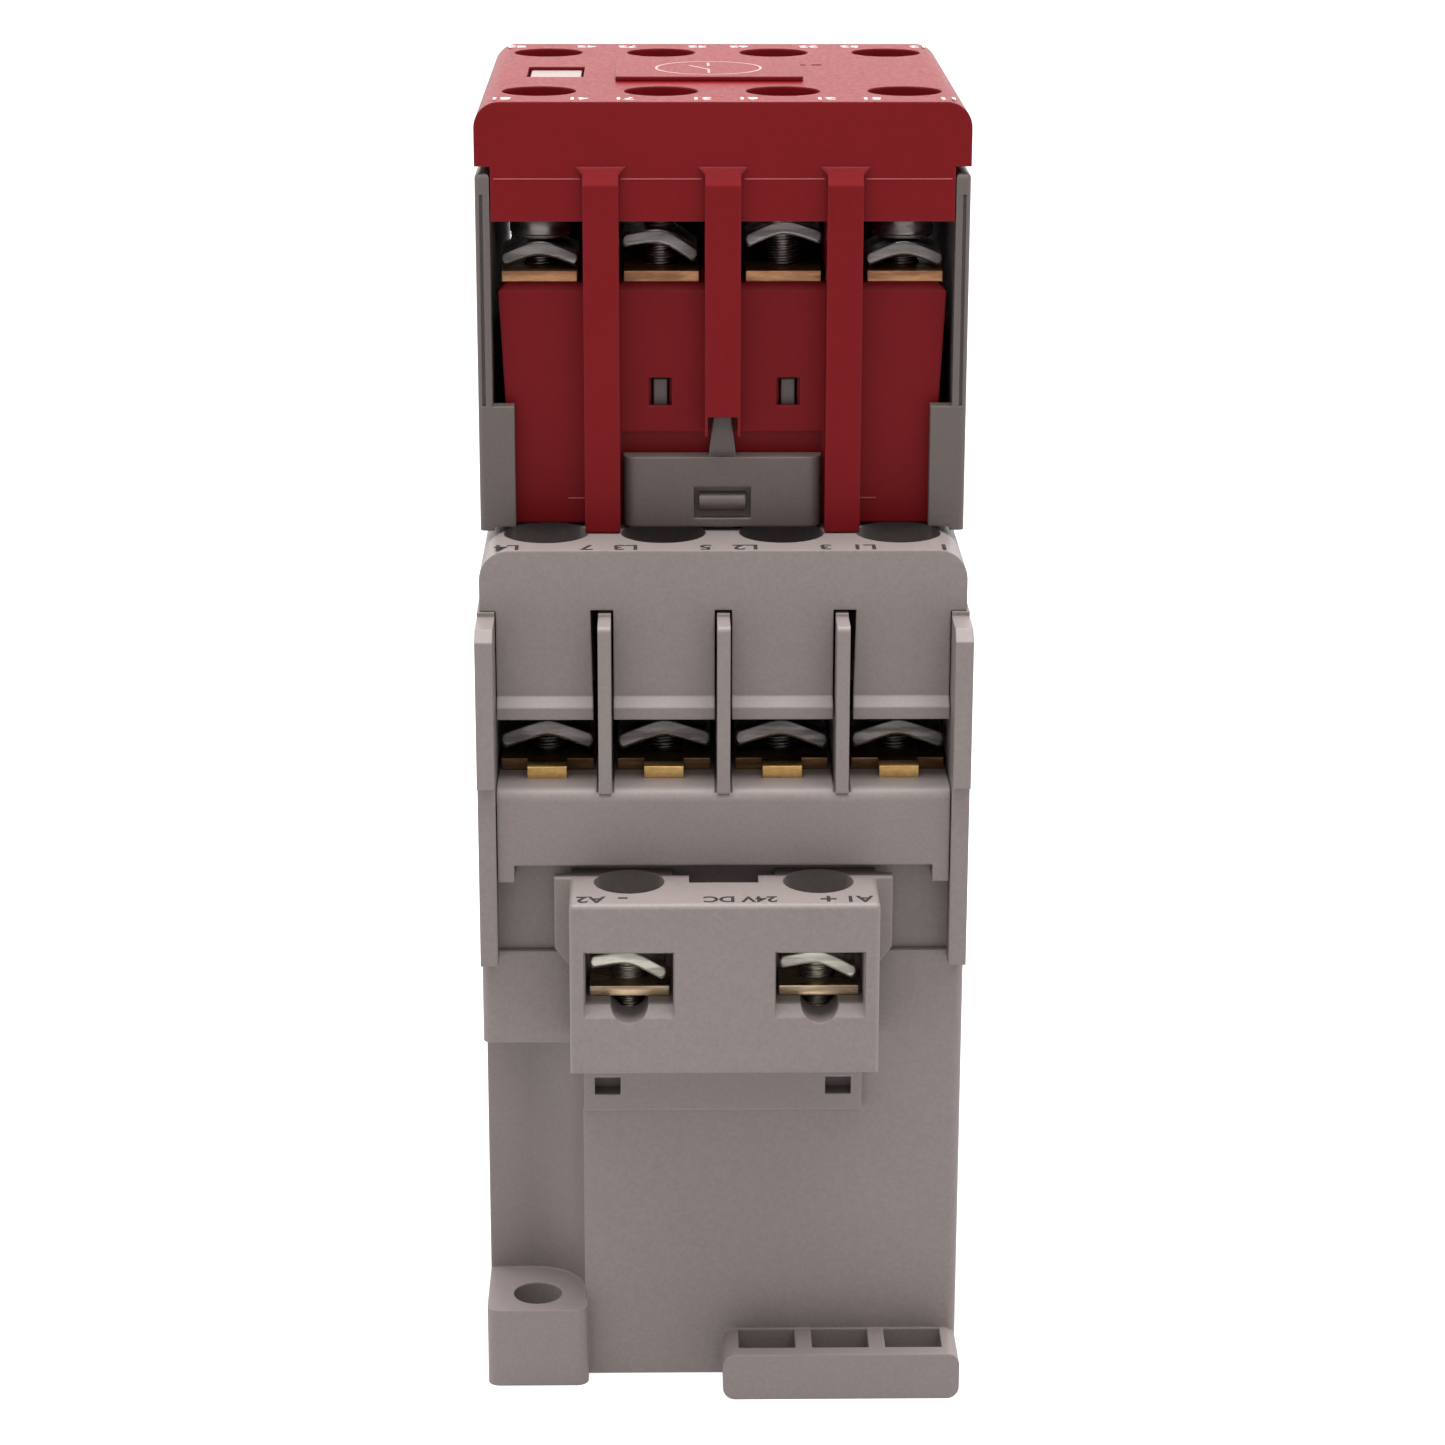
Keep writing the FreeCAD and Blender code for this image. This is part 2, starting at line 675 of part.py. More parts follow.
def main_contacts():
    """Fixed plates with their tips, and the four spring-loaded bridges in the carrier's windows."""
    tips = []
    for name, side in SIDES.items():
        plates = []
        for index, middle in enumerate(MAIN_POLES):
            plate = fuse(
                f"{name}_plate_joined_{index}",
                block(f"{name}_tab_{index}", about(middle, "tab_half"),
                      turned(side, "screw_y + 4", "screw_y + 7"),
                      ("tray_top", "plate_top")),
                block(f"{name}_pad_{index}", about(middle, "clamp_wide / 2"),
                      turned(side, "screw_y - 5", "screw_y + clamp_deep / 2"),
                      ("tray_top", "plate_top")),
                block(f"{name}_strip_{index}", about(middle, "strip_half"),
                      turned(side, "tip_in - 0.4", "screw_y - 4.9"), ("tray_top", "plate_top")),
            )
            thread = rod(f"{name}_thread_{index}", "screw_shank + 0.08", middle, signed(side, "screw_y"),
                         ("tray_top - 1", "plate_top + 1"))
            plates.append(cut(f"{name}_plate_{index}", plate, thread))
            tips.append(block(f"{name}_tip_{index}", about(middle, "tip_half"),
                              turned(side, "tip_in", "tip_out"),
                              ("plate_top", "plate_top + tip_high")))
        node(f"{name}_terminal_plates", group(f"{name}_terminal_plates", *plates))
    node("fixed_contact_tips", group("fixed_contact_tips", *tips))
    springs = []
    for index, middle in enumerate(MAIN_POLES):
        strip = rounded(f"bridge_round_{index}",
                        block(f"bridge_strip_{index}", about(middle, "bridge_half"), both("bridge_y"),
                              ("bridge_low", "bridge_low + bridge_thick")), "0.9", "z")
        pads = [
            block(f"bridge_tip_{index}_{name}", about(middle, "tip_half"),
                  turned(side, "tip_in", "tip_out"),
                  ("bridge_low - tip_high", "bridge_low + 0.1"))
            for name, side in SIDES.items()
        ]
        node(f"main_bridge_{index + 1}", fuse(f"main_bridge_{index + 1}", strip, *pads))
        springs.append(rod(f"bridge_spring_{index}", "contact_spring", middle, "0",
                           ("bridge_low + bridge_thick + 0.05", "bridge_window - 0.05")))
    node("main_contact_springs", group("main_contact_springs", *springs))


def front_cover():
    """The grey front with a screwdriver well over every main terminal and slots for the fins."""
    head_box = block("cover_head_box", both("cover_x"), both("cover_y"), ("cover_step", "cover_top"))
    head = rounded("cover_head", head_box, "cover_round", "y:+z")
    skirt = block("cover_skirt", both("tray_x"), both("cover_y"), ("cover_low", "cover_step + 0.1"))
    solids = [head, skirt]
    for name, side in SIDES.items():
        outline = [("cover_y - 1", "cover_low"), ("cover_y + cover_lip", "cover_low"),
                   ("cover_y + cover_lip", "cover_low + 1.1"), ("cover_y - 0.2", "cover_low + 2.1"),
                   ("cover_y - 1", "cover_low + 2.1")]
        if side < 0:
            outline = [(f"-({y})", z) for y, z in outline]
        solids.append(prism(f"{name}_lip", "YZ", outline, both("tray_x")))
    hollow = block("cover_hollow", both("tray_x - 1.3"), both("cover_y - 1.4"),
                   ("cover_low - 1", "cover_top - 2.6"))
    shell = cut("cover_shell", fuse("cover_joined", *solids), hollow)
    tubes = []
    cutters = [
        block("cover_window", both("boss_x + 1.5"), both("boss_y + 1"), ("cover_top - 4", "cover_top + 1")),
        block("beam_room", both("beam_x + 0.25"), both("beam_y + 0.6"),
              ("cover_low - 1", "cover_top - 2.6")),
    ]
    for name, side in SIDES.items():
        cutters.append(block(f"{name}_hook_hole", both("hook_half + 0.2"),
                             about(signed(side, "hook_y"), "1"),
                             ("cover_top - 4", "cover_top + 1")))
        for index, middle in enumerate(MAIN_POLES):
            tubes.append(rod(f"{name}_well_tube_{index}", "well_radius + well_wall", middle,
                             signed(side, "screw_y"),
                             ("cover_low + 1.8", "cover_top - 2.5")))
            cutters.append(rod(f"{name}_well_{index}", "well_radius", middle, signed(side, "screw_y"),
                               ("cover_low", "cover_top + 1")))
        for index, middle in enumerate(FINS):
            # the outer slots widen upwards on the side away from the middle
            left = "fin_gap_wide" if index == 0 else "fin_gap"
            right = "fin_gap_wide" if index == 2 else "fin_gap"
            cutters.append(prism(
                f"{name}_fin_slot_{index}", "XZ",
                [(f"{middle} - fin_half - (fin_gap + {left}) / 2", "cover_low - 1"),
                 (f"{middle} + fin_half + (fin_gap + {right}) / 2", "cover_low - 1"),
                 (f"{middle} + fin_half + {right}", "cheek_top + 0.6"),
                 (f"{middle} - fin_half - {left}", "cheek_top + 0.6")],
                turned(side, "cover_y - 1.4", "cover_y + 2"),
            ))
            cutters.append(block(f"{name}_wall_slot_{index}", about(middle, "fin_half + fin_gap"),
                                 turned(side, "beam_y", "cover_y - 1"),
                                 ("cover_low - 1", "cover_step + 0.1")))
    node("front_cover", cut("front_cover", fuse("cover_with_tubes", shell, *tubes), *cutters))


# ---------------------------------------------------------------------------------------------------
# Coil terminals
# ---------------------------------------------------------------------------------------------------
def coil_block():
    """The plug-on block with the two coil terminals, its plates and the board behind it."""
    body = rounded("coil_box", block("coil_brick", both("coil_x"), ("-coil_y", "-panel_y - 0.05"),
                                     ("coil_low", "coil_top")), "0.5", "x:-y", "z:-y", "y:+z")
    back = block("coil_back", both("coil_x"), ("-panel_y - 0.1", "-ring_y - 0.1"),
                 ("base_top + 0.1", "coil_top"))
    wings = prism(
        "coil_wings", "XZ",
        [("-coil_x - 0.3", "base_top - 0.4"), ("coil_x + 0.3", "base_top - 0.4"),
         ("coil_x + 1.5", "base_top + 1.2"),
         ("coil_x + 1.5", "coil_top"), ("-coil_x - 1.5", "coil_top"), ("-coil_x - 1.5", "base_top + 1.2")],
        ("-panel_y - 1.4", "-panel_y - 0.05"),
    )
    cutters = [
        block("coil_socket", both("3.15"), ("-coil_screw - 0.3", "-ring_y + 1"),
              ("coil_top - 4.5", "coil_top + 1")),
        block("coil_socket_step", both("4.7"), ("-panel_y - 0.5", "-ring_y + 1"),
              ("coil_top - 1.2", "coil_top + 1")),
    ]
    plates = []
    for index, middle in enumerate(("-coil_pole", "coil_pole")):
        cutters.append(block(f"coil_window_{index}", about(middle, "coil_window"),
                             ("-coil_y - 1", "-panel_y - 0.6"),
                             ("coil_sill", "coil_head")))
        cutters.append(prism(
            f"coil_bevel_{index}", "YZ",
            [("-coil_y - 0.5", "coil_sill - 1.6"), ("-coil_y + 0.9", "coil_sill"),
             ("-coil_y + 0.9", "coil_head + 0.1"), ("-coil_y - 0.5", "coil_head + 0.6")],
            about(middle, "coil_window + 0.12"),
        ))
        cutters.append(rod(f"coil_notch_{index}", "aux_shank + 0.22", middle,
                           ("-coil_y - 1", "-coil_screw"),
                           "coil_sill + 0.2"))
        cutters.append(rod(f"coil_well_{index}", "coil_well", middle, "-coil_screw",
                           ("coil_head - 1", "coil_top + 1")))
        cutters.append(rod(f"coil_shaft_{index}", "aux_shank + 0.5", middle, "-coil_screw",
                           ("coil_low + 1.5", "coil_sill + 0.5")))
        cutters.append(block(f"coil_lead_{index}", about(middle, "1.4"),
                             ("-panel_y - 1.5", "-panel_y + 0.5"),
                             ("coil_sill", "coil_sill + 1.3")))
        washer = block(f"coil_plate_{index}", about(middle, "3.6"), ("-coil_screw - 3.2", "-panel_y - 0.7"),
                       ("coil_sill + 0.02", "coil_sill + 0.95"))
        lead = block(f"coil_lead_bar_{index}", about(middle, "1.1"), ("-panel_y - 0.8", "-panel_y - 0.1"),
                     ("coil_sill + 0.02", "coil_sill + 0.95"))
        hole = rod(f"coil_plate_hole_{index}", "aux_shank + 0.08", middle, "-coil_screw",
                   ("coil_sill - 1", "coil_sill + 2"))
        plates.append(cut(f"coil_plate_cut_{index}", fuse(f"coil_plate_joined_{index}", washer, lead),
                          hole))
    node("coil_terminal_block", cut("coil_terminal_block", fuse("coil_joined", body, back, wings),
                                    *cutters))
    node("coil_terminal_plates", group("coil_terminal_plates", *plates))
    parts = [block("board_sheet", ("-9.5", "18.5"), ("-25.6", "-24.2"), ("base_floor + 1", "base_top - 2"))]
    for index, (middle, low, wide) in enumerate((("-4", "14", "2.2"), ("3.5", "20", "3.2"),
                                                 ("12", "15", "2.6"),
                                                 ("12.5", "28", "2.2"), ("-3", "29", "3"))):
        parts.append(block(f"board_part_{index}", about(middle, wide), ("-28", "-25.55"),
                           (low, f"{low} + 6")))
    node("coil_board", fuse("coil_board", *parts))


# ---------------------------------------------------------------------------------------------------
# Auxiliary deck
# ---------------------------------------------------------------------------------------------------
def deck_base():
    """The grey carrier of the deck: a floor, two tall side plates, four corner posts and four snap arms."""
    solids = [block("deck_floor_plate", both("deck_x"), both("body_y - apron - 0.1"),
                    ("deck_low", "deck_floor"))]
    cutters = [
        block("deck_floor_window", both("10"), both("6"), ("deck_low - 1", "deck_floor + 1")),
        block("deck_floor_front", both("release_x + 0.3"), ("-body_y - 1", "-body_y + 1.5"),
              ("deck_low - 1", "deck_floor + 1")),
        block("deck_floor_spring", about("-release_spring_x", "1.4"),
              ("-body_y", "-release_spring_y + 1.5"),
              ("deck_low - 1", "deck_floor + 1")),
    ]
    for end in (-1, 1):
        side_name = "right" if end > 0 else "left"
        flip = "-" if end < 0 else "+"
        solids.append(rounded(
            f"deck_skin_{side_name}",
            block(f"deck_skin_box_{side_name}", turned(end, "deck_in", "deck_x"), both("deck_y"),
                  ("deck_low", "deck_skin_top")),
            "0.5", f"z:{flip}x", "x:+z", "y:+z"))
        for name, side in SIDES.items():
            solids.append(block(f"deck_post_{side_name}_{name}",
                                turned(end, "body_x_low - 0.35", "deck_in + 0.2"),
                                turned(side, "body_y + 0.1", "deck_y"), ("deck_low + 0.35", "deck_step")))
            cutters.append(block(f"deck_groove_{side_name}_{name}",
                                 about(signed(end, "(deck_in + deck_x) / 2 + 0.1"), "0.15"),
                                 turned(side, "deck_y - 0.35", "deck_y + 1"),
                                 ("deck_step", "deck_skin_top - 1.9")))
    for name, side in SIDES.items():
        for index, middle in enumerate(SNAP_ARMS):
            solids.append(block(f"snap_arm_{name}_{index}", about(middle, "snap_half"),
                                turned(side, "snap_in", "snap_out"), ("deck_low + 0.5", "snap_top")))
    solids.append(block("rear_hook", both("hook_half"), ("hook_y - 0.8", "hook_y + 0.2"),
                        ("cover_top - 1.3", "deck_floor")))
    solids.append(block("rear_hook_root", both("hook_half"), ("body_y - apron - 0.4", "hook_y"),
                        ("deck_low", "deck_floor")))
    # a shallow step along the outer faces, where the thick lower part of each side plate ends
    for end in (-1, 1):
        cutters.append(block(f"deck_skin_step_{end + 1}", turned(end, "deck_x - 0.25", "deck_x + 1"),
                             both("deck_y - 1.4"), ("deck_step", "deck_skin_top - 1.2")))
    node("deck_base", cut("deck_base", fuse("deck_base_joined", *solids), *cutters))


def deck_body():
    """The red contact block, tapered towards the contactor, with an apron over the edge of its floor."""
    block_shape = prism(
        "deck_body_block", "XZ",
        [("-body_x_low", "deck_floor + 0.02"), ("body_x_low", "deck_floor + 0.02"),
         ("body_x_top", "body_top - 0.7"),
         ("body_x_top - 0.7", "body_top"), ("-body_x_top + 0.7", "body_top"),
         ("-body_x_top", "body_top - 0.7")],
        both("body_y"),
    )
    solids = [block_shape]
    cutters = [
        block("carriage_cavity", both("carriage_x + 0.2"), both("carriage_y + 0.6"),
              ("carriage_low - carriage_travel", "body_top + 1")),
        block("boss_cavity", both("boss_x + 0.3"), both("carriage_y + 0.4"),
              ("deck_low", "carriage_low - carriage_travel + 0.1")),
        block("release_recess", both("release_x + 0.25"), ("-body_y - 1", "-body_y + 0.45"),
              ("deck_low", "release_top + release_travel")),
        block("release_pocket", about("-release_spring_x", "1.4"), about("-release_spring_y", "1.2"),
              ("deck_low", "release_spring_top")),
        block("release_lug_slot", about("-release_spring_x", "1.4"), ("-body_y - 0.1", "-release_spring_y"),
              ("deck_low", "release_lug + release_travel + 0.3")),
        block("release_hook_room", both("hook_half + 0.2"), ("-body_y - 0.1", "-hook_y + 0.9"),
              ("deck_low", "release_low + release_travel + 0.9")),
        block("rear_hook_room", both("hook_half + 0.2"), ("hook_y - 1", "body_y + 0.1"),
              ("deck_low", "deck_floor + 0.1")),
    ]
    for name, side in SIDES.items():
        solids.append(block(f"{name}_apron", both("body_x_low"), turned(side, "body_y - apron", "body_y"),
                            ("deck_low + 0.35", "deck_floor + 0.1")))
        chamfer = [("body_y - 0.7", "body_top"), ("body_y + 0.3", "body_top - 1"),
                   ("body_y + 0.3", "body_top + 0.3")]
        if side < 0:
            chamfer = [(f"-({y})", z) for y, z in chamfer]
        cutters.append(prism(f"{name}_body_chamfer", "YZ", chamfer, both("deck_x")))
        for index, middle in enumerate(DECK_POLES):
            cutters.append(block(f"{name}_chamber_{index}", about(middle, "chamber_half"),
                                 turned(side, "2", "chamber_out"), ("chamber_low", "body_top + 1")))
            cutters.append(rod(f"{name}_deck_hole_{index}", "aux_shank + 0.6", middle,
                               signed(side, "deck_screw"),
                               ("chamber_low + 2", "body_top + 1")))
        for index, middle in enumerate(SNAP_ARMS):
            cutters.append(block(f"{name}_arm_channel_{index}", about(middle, "snap_half + 0.25"),
                                 turned(side, "snap_in - 0.2", "snap_out + 0.2"),
                                 ("deck_low", "snap_top + 0.3")))
            cutters.append(block(f"{name}_arm_window_{index}", about(middle, "snap_half + 0.45"),
                                 turned(side, "snap_out + 0.1", "body_y + 1"),
                                 ("snap_top - 2.3", "snap_top + 0.3")))
        for index, (low, high) in enumerate((("-17", "-9"), ("-3.9", "3.9"), ("9", "17"))):
            cutters.append(block(f"{name}_deck_core_out_{index}", (low, high), turned(side, "4.8", "16"),
                                 ("deck_low", "carriage_low")))
    node("deck_body", cut("deck_body", fuse("deck_body_joined", *solids), *cutters))


def deck_cap():
    """The red cap, with a screwdriver well over every terminal and a window for the flag."""
    head_box = block("cap_head_box", both("deck_x"), both("deck_y"), ("cap_step", "cap_top"))
    head = rounded("cap_head", head_box, "cap_round", "y:+z")
    skirt = block("cap_skirt", both("cap_x"), both("deck_y"), ("cap_low", "cap_step + 0.1"))
    hollow = block("cap_hollow", both("cap_x - 1.3"), both("deck_y - 1.5"),
                   ("cap_low - 1", "cap_top - 1.7"))
    solids = [cut("cap_shell", fuse("cap_joined", head, skirt), hollow)]
    cutters = [
        block("flag_window", about("-flag_x", "flag_half + 0.3"), ("-flag_front - 0.3", "flag_back + 0.3"),
              ("cap_top - 3", "cap_top + 1")),
        block("cap_slot_0", ("7.3", "8.3"), ("4.3", "5"), ("cap_top - 0.6", "cap_top + 1")),
        block("cap_slot_1", ("8.8", "9.8"), ("4.3", "5"), ("cap_top - 0.6", "cap_top + 1")),
    ]
    for name, side in SIDES.items():
        for index, middle in enumerate(DECK_POLES):
            solids.append(rod(f"{name}_cap_tube_{index}", "deck_well + 0.75", middle,
                              signed(side, "deck_screw"),
                              ("cap_low + 0.1", "cap_top - 1.6")))
            cutters.append(rod(f"{name}_cap_well_{index}", "deck_well", middle, signed(side, "deck_screw"),
                               ("cap_low - 0.5", "cap_top + 1")))
    node("deck_cap", cut("deck_cap", fuse("cap_with_tubes", *solids), *cutters))
    plate = block("cover_plate_box", ("-9.7", "7.6"), ("-7.8", "4.1"), ("cap_top", "cap_top + 0.45"))
    node("deck_cover_plate", rounded("deck_cover_plate", plate, "0.5", "z"))


def deck_ribs():
    """Six red fingers from the cap down the body, each with a wall that runs in between two terminals."""
    fingers = []
    for name, side in SIDES.items():
        for index, middle in enumerate(RIBS):
            foot = "release_top + release_travel + 0.1" if index == 1 else "deck_low + 0.05"
            outline = [
                ("rib_y", foot), ("rib_y", "cap_step"), ("deck_y", "cap_step"), ("deck_y", "cap_low"),
                ("separator_y", "cap_low"), ("separator_y", "aux_plate_top + 0.15"),
                ("body_y + 0.15", "aux_plate_top + 0.15"), ("body_y + 0.15", foot),
            ]
            if side < 0:
                outline = [(f"-({y})", z) for y, z in outline]
            finger = prism(f"{name}_finger_{index}", "YZ", outline, about(middle, "rib_half"))
            # the finger spreads and slopes back where it meets the cap
            flare = prism(
                f"{name}_flare_{index}", "XZ",
                [(f"({middle}) - rib_half", "cap_step - ear"),
                 (f"({middle}) + rib_half", "cap_step - ear"),
                 (f"({middle}) + rib_half + ear", "cap_step"),
                 (f"({middle}) - rib_half - ear", "cap_step")],
                turned(side, "deck_y", "rib_y"),
            )
            slope = [
                ("rib_y", "cap_step - shoulder"), ("rib_y + 1", "cap_step - shoulder"),
                ("rib_y + 1", "cap_step + 1"),
                ("deck_y + 0.1", "cap_step + 1"), ("deck_y + 0.1", "cap_step"),
            ]
            if side < 0:
                slope = [(f"-({y})", z) for y, z in slope]
            cutters = [prism(f"{name}_shoulder_{index}", "YZ", slope, about(middle, "rib_half + 1"))]
            if index == 1 and side < 0:
                # room for the catch's tongue: open at the front low down, behind the finger's skin higher
                # up
                cutters.append(block("tongue_mouth", both("tongue_half + 0.05"), ("-rib_y - 1", "-body_y"),
                                     ("release_top", "tongue_top + 0.3")))
                cutters.append(block("tongue_slot", both("tongue_half + 0.05"), about("-tongue_y", "0.6"),
                                     ("release_top", "tongue_top + release_travel + 0.4")))
            fingers.append(cut(f"{name}_rib_{index}", fuse(f"{name}_rib_joined_{index}", finger, flare),
                               *cutters))
    node("deck_ribs", group("deck_ribs", *fingers))


def deck_release():
    """The grey catch that locks the deck to the contactor; a screwdriver lifts it against a spring."""
    plate = rounded("release_plate", block("release_box", both("release_x"), ("-deck_y", "-body_y + 0.3"),
                                           ("release_low", "release_top")), "1.2", "z:-y")
    hollow = block("release_hollow", both("2.6"), ("-deck_y - 1", "-deck_y + 0.9"),
                   about("release_bar", "release_slot"))
    bar = rod("release_grip", "0.85", both("2.1"), "-deck_y + 0.75", "release_bar")
    tongue = prism(
        "release_tongue", "XZ",
        [("-tongue_half", "release_top - 0.5"), ("tongue_half", "release_top - 0.5"),
         ("tongue_tip", "tongue_top"), ("-tongue_tip", "tongue_top")],
        about("-tongue_y", "0.4"),
    )
    hook = block("release_hook", both("hook_half"), ("-hook_y - 0.7", "-hook_y + 0.65"),
                 ("cover_top - 1.3", "release_low + 0.6"))
    web = block("release_web", both("hook_half"), ("-hook_y - 0.7", "-body_y + 0.35"),
                ("release_low", "release_low + 1.5"))
    lug = block("release_spring_lug", about("-release_spring_x", "1.1"),
                ("-body_y + 0.2", "-release_spring_y + 1.1"), ("release_lug - 1", "release_lug"))
    body = cut("release_cut", plate, hollow)
    node("deck_release", fuse("deck_release", body, bar, tongue, hook, web, lug))
    node("deck_release_spring", rod("deck_release_spring", "release_spring", "-release_spring_x",
                                    "-release_spring_y",
                                    ("release_lug + 0.05", "release_spring_top - 0.05")))


def deck_carriage():
    """The deck's moving bar, pushed down with the contactor's carrier, with the light grey flag on top."""
    beam = block("carriage_beam", both("carriage_x"), both("carriage_y"), ("carriage_low", "carriage_top"))
    foot = block("carriage_foot", both("boss_x"), both("carriage_y - 0.2"),
                 ("cover_top - 0.35", "carriage_low + 0.1"))
    post = block("carriage_post", about("-flag_x", "flag_half - 0.2"), both("carriage_y"),
                 ("carriage_top - 0.1", "flag_top - 1"))
    cutters = [
        block(f"aux_window_{index}", about(middle, "aux_bridge_half + 0.25"), both("carriage_y + 1"),
              ("carriage_window", "carriage_window_top"))
        for index, middle in enumerate(DECK_POLES)
    ]
    node("deck_carriage", cut("deck_carriage", fuse("carriage_joined", beam, foot, post), *cutters))
    flag = block("flag_box", about("-flag_x", "flag_half"), ("-flag_front", "flag_back"),
                 ("flag_top - 1", "flag_top"))
    node("indicator_flag", rounded("indicator_flag", flag, "0.3", "z"))


def aux_contacts():
    """Fixed plates above, bridges below: the deck's contacts are closed while the contactor is released."""
    tips = []
    for name, side in SIDES.items():
        plates = []
        for index, middle in enumerate(DECK_POLES):
            plate = fuse(
                f"aux_{name}_plate_joined_{index}",
                block(f"aux_{name}_pad_{index}", about(middle, "aux_pad_half"),
                      turned(side, "aux_pad_in", "aux_pad_out"), ("body_top + 0.02", "aux_plate_top")),
                block(f"aux_{name}_strip_{index}", about(middle, "aux_strip_half"),
                      turned(side, "aux_tip_in - 0.6", "aux_pad_in + 0.1"),
                      ("body_top + 0.02", "aux_plate_top")),
            )
            thread = rod(f"aux_{name}_thread_{index}", "aux_shank + 0.08", middle,
                         signed(side, "deck_screw"),
                         ("body_top - 1", "aux_plate_top + 1"))
            plates.append(cut(f"aux_{name}_plate_{index}", plate, thread))
            tips.append(block(f"aux_{name}_tip_{index}", about(middle, "aux_tip_half"),
                              turned(side, "aux_tip_in", "aux_tip_out"),
                              ("body_top + 0.02 - aux_tip", "body_top + 0.02")))
        node(f"aux_{name}_plates", group(f"aux_{name}_plates", *plates))
    node("aux_fixed_tips", group("aux_fixed_tips", *tips))
    springs = []
    for index, middle in enumerate(DECK_POLES):
        strip = rounded(f"aux_strip_round_{index}",
                        block(f"aux_strip_{index}", about(middle, "aux_bridge_half"), both("aux_bridge_y"),
                              ("aux_bridge_low", "aux_bridge_low + aux_bridge_thick")), "0.6", "z")
        pads = [
            block(f"aux_bridge_tip_{index}_{name}", about(middle, "aux_tip_half"),
                  turned(side, "aux_tip_in", "aux_tip_out"),
                  ("aux_bridge_low + 0.3", "body_top - aux_tip - 0.05"))
            for name, side in SIDES.items()
        ]
        node(f"aux_bridge_{index + 1}", fuse(f"aux_bridge_{index + 1}", strip, *pads))
        springs.append(rod(f"aux_spring_{index}", "aux_spring", middle, "0",
                           ("carriage_window + 0.05", "aux_bridge_low - 0.05")))
    node("aux_contact_springs", group("aux_contact_springs", *springs))


# ---------------------------------------------------------------------------------------------------
# Terminal screws, each with its captive V-shaped clamp
# ---------------------------------------------------------------------------------------------------
def terminal(name, kind, x, y, seat, lift, tilt, shank_length, behind=None):
    """One screw and its clamp: lift is how far the clamp's ends stand above the plate, tilt its lean."""
    wide, deep, thick, rise, shank, head = (
        ("clamp_wide", "clamp_deep", "clamp_thick", "clamp_rise", "screw_shank", "screw_head"),
        ("aux_wide", "aux_deep", "aux_thick", "aux_rise", "aux_shank", "aux_head"),
    )[kind]
    ridge = f"{seat} + {lift} + {rise}"
    plate = prism(
        name + "_clamp_v", "XZ",
        [(f"-{wide} / 2", f"-{rise}"), ("0", "0"), (f"{wide} / 2", f"-{rise}"),
         (f"{wide} / 2", f"{thick} - {rise}"), ("0", thick), (f"-{wide} / 2", f"{thick} - {rise}")],
        (f"-{deep} / 2", behind or f"{deep} / 2"),
    )
    opening = rod(name + "_clamp_hole", f"{shank} + 0.55", "0", "0", ("-3", "3"))
    clamp = cut(name + "_clamp", plate, opening)
    clamp.Placement = Placement(Vector(0, 0, 0), Rotation(Vector(0, 1, 0), tilt))
    for place, formula in zip("xyz", (x, y, ridge)):
        clamp.setExpression("Placement.Base." + place, expression(formula))
    under_head = f"{ridge} + {thick} + 0.12 + {abs(tilt)} * 0.045"
    disc = rod(name + "_head", head, x, y, (under_head, f"{under_head} + 1.9"))
    slot = block(name + "_slot", about(x, "0.5"), about(y, head + " + 1"),
                 (f"{under_head} + 0.9", f"{under_head} + 3"))
    stem = rod(name + "_shank", shank, x, y, (f"{under_head} - {shank_length}", f"{under_head} + 0.1"))
    screw = fuse(name + "_screw", cut(name + "_head_cut", disc, slot), stem)
    node(name, group(name, screw, clamp))


def terminals():
    """Eighteen terminals: eight main, eight on the deck and two for the coil, as they were left by hand."""
    for name, side in SIDES.items():
        for index, middle in enumerate(MAIN_POLES):
            terminal(f"{name}_terminal_{index + 1}", 0, middle, signed(side, "screw_y"), "plate_top", 0.8,
                     (0, 2, -2, 0)[index] * side, 8.2)
        for index, middle in enumerate(DECK_POLES):
            lift, tilt = ((0.1, 0), (1.15, 12), (2.0, -3), (0.1, 0))[index] if side < 0 else (0.1, 0)
            terminal(f"aux_{name}_terminal_{index + 1}", 1, middle, signed(side, "deck_screw"),
                     "aux_plate_top",
                     lift, tilt, 7.4)
    for index, middle in enumerate(("-coil_pole", "coil_pole")):
        terminal(f"coil_terminal_{index + 1}", 1, middle, "-coil_screw", "coil_sill + 0.95", 1.1,
                 (10, 9)[index],
                 8.0, behind="coil_clamp_back")


base_housing()
din_latch()
magnet()
contact_housing()
contact_tray()
phase_barriers()
contact_carrier()
main_contacts()
front_cover()
coil_block()
deck_base()
deck_body()
deck_cap()
deck_ribs()
deck_release()
deck_carriage()
aux_contacts()
terminals()
doc.recompute()

faults = [item.Name for item in doc.Objects if "Invalid" in item.State or "Error" in item.State]
for name, piece in NODES.items():
    if piece.Shape.isNull() or not piece.Shape.isValid() or not piece.Shape.Solids:
        faults.append(name)
if faults:
    raise SystemExit("these objects failed: " + ", ".join(faults))

os.makedirs("parts", exist_ok=True)
for name, piece in NODES.items():
    piece.Shape.exportStep(f"parts/{name}.step")
    print(f"{name:24s} {len(piece.Shape.Solids)} solid(s) {piece.Shape.Volume:10.1f} mm3")
print(len(NODES), "nodes")
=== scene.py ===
# %% [markdown]
# # A DIN-rail contactor with a front contact deck
# The measured model of every moulding, plate and magnet part comes in as a fixed frame. The mouldings are
# already right in shape, so they only get a finish here. The small turned, bent and wound parts came in
# as plain cylinders and blocks, and they are replaced: screws with threads and slotted heads, bent
# clamps, coil springs and a wound coil.

# %% Load the frame
import json
import math

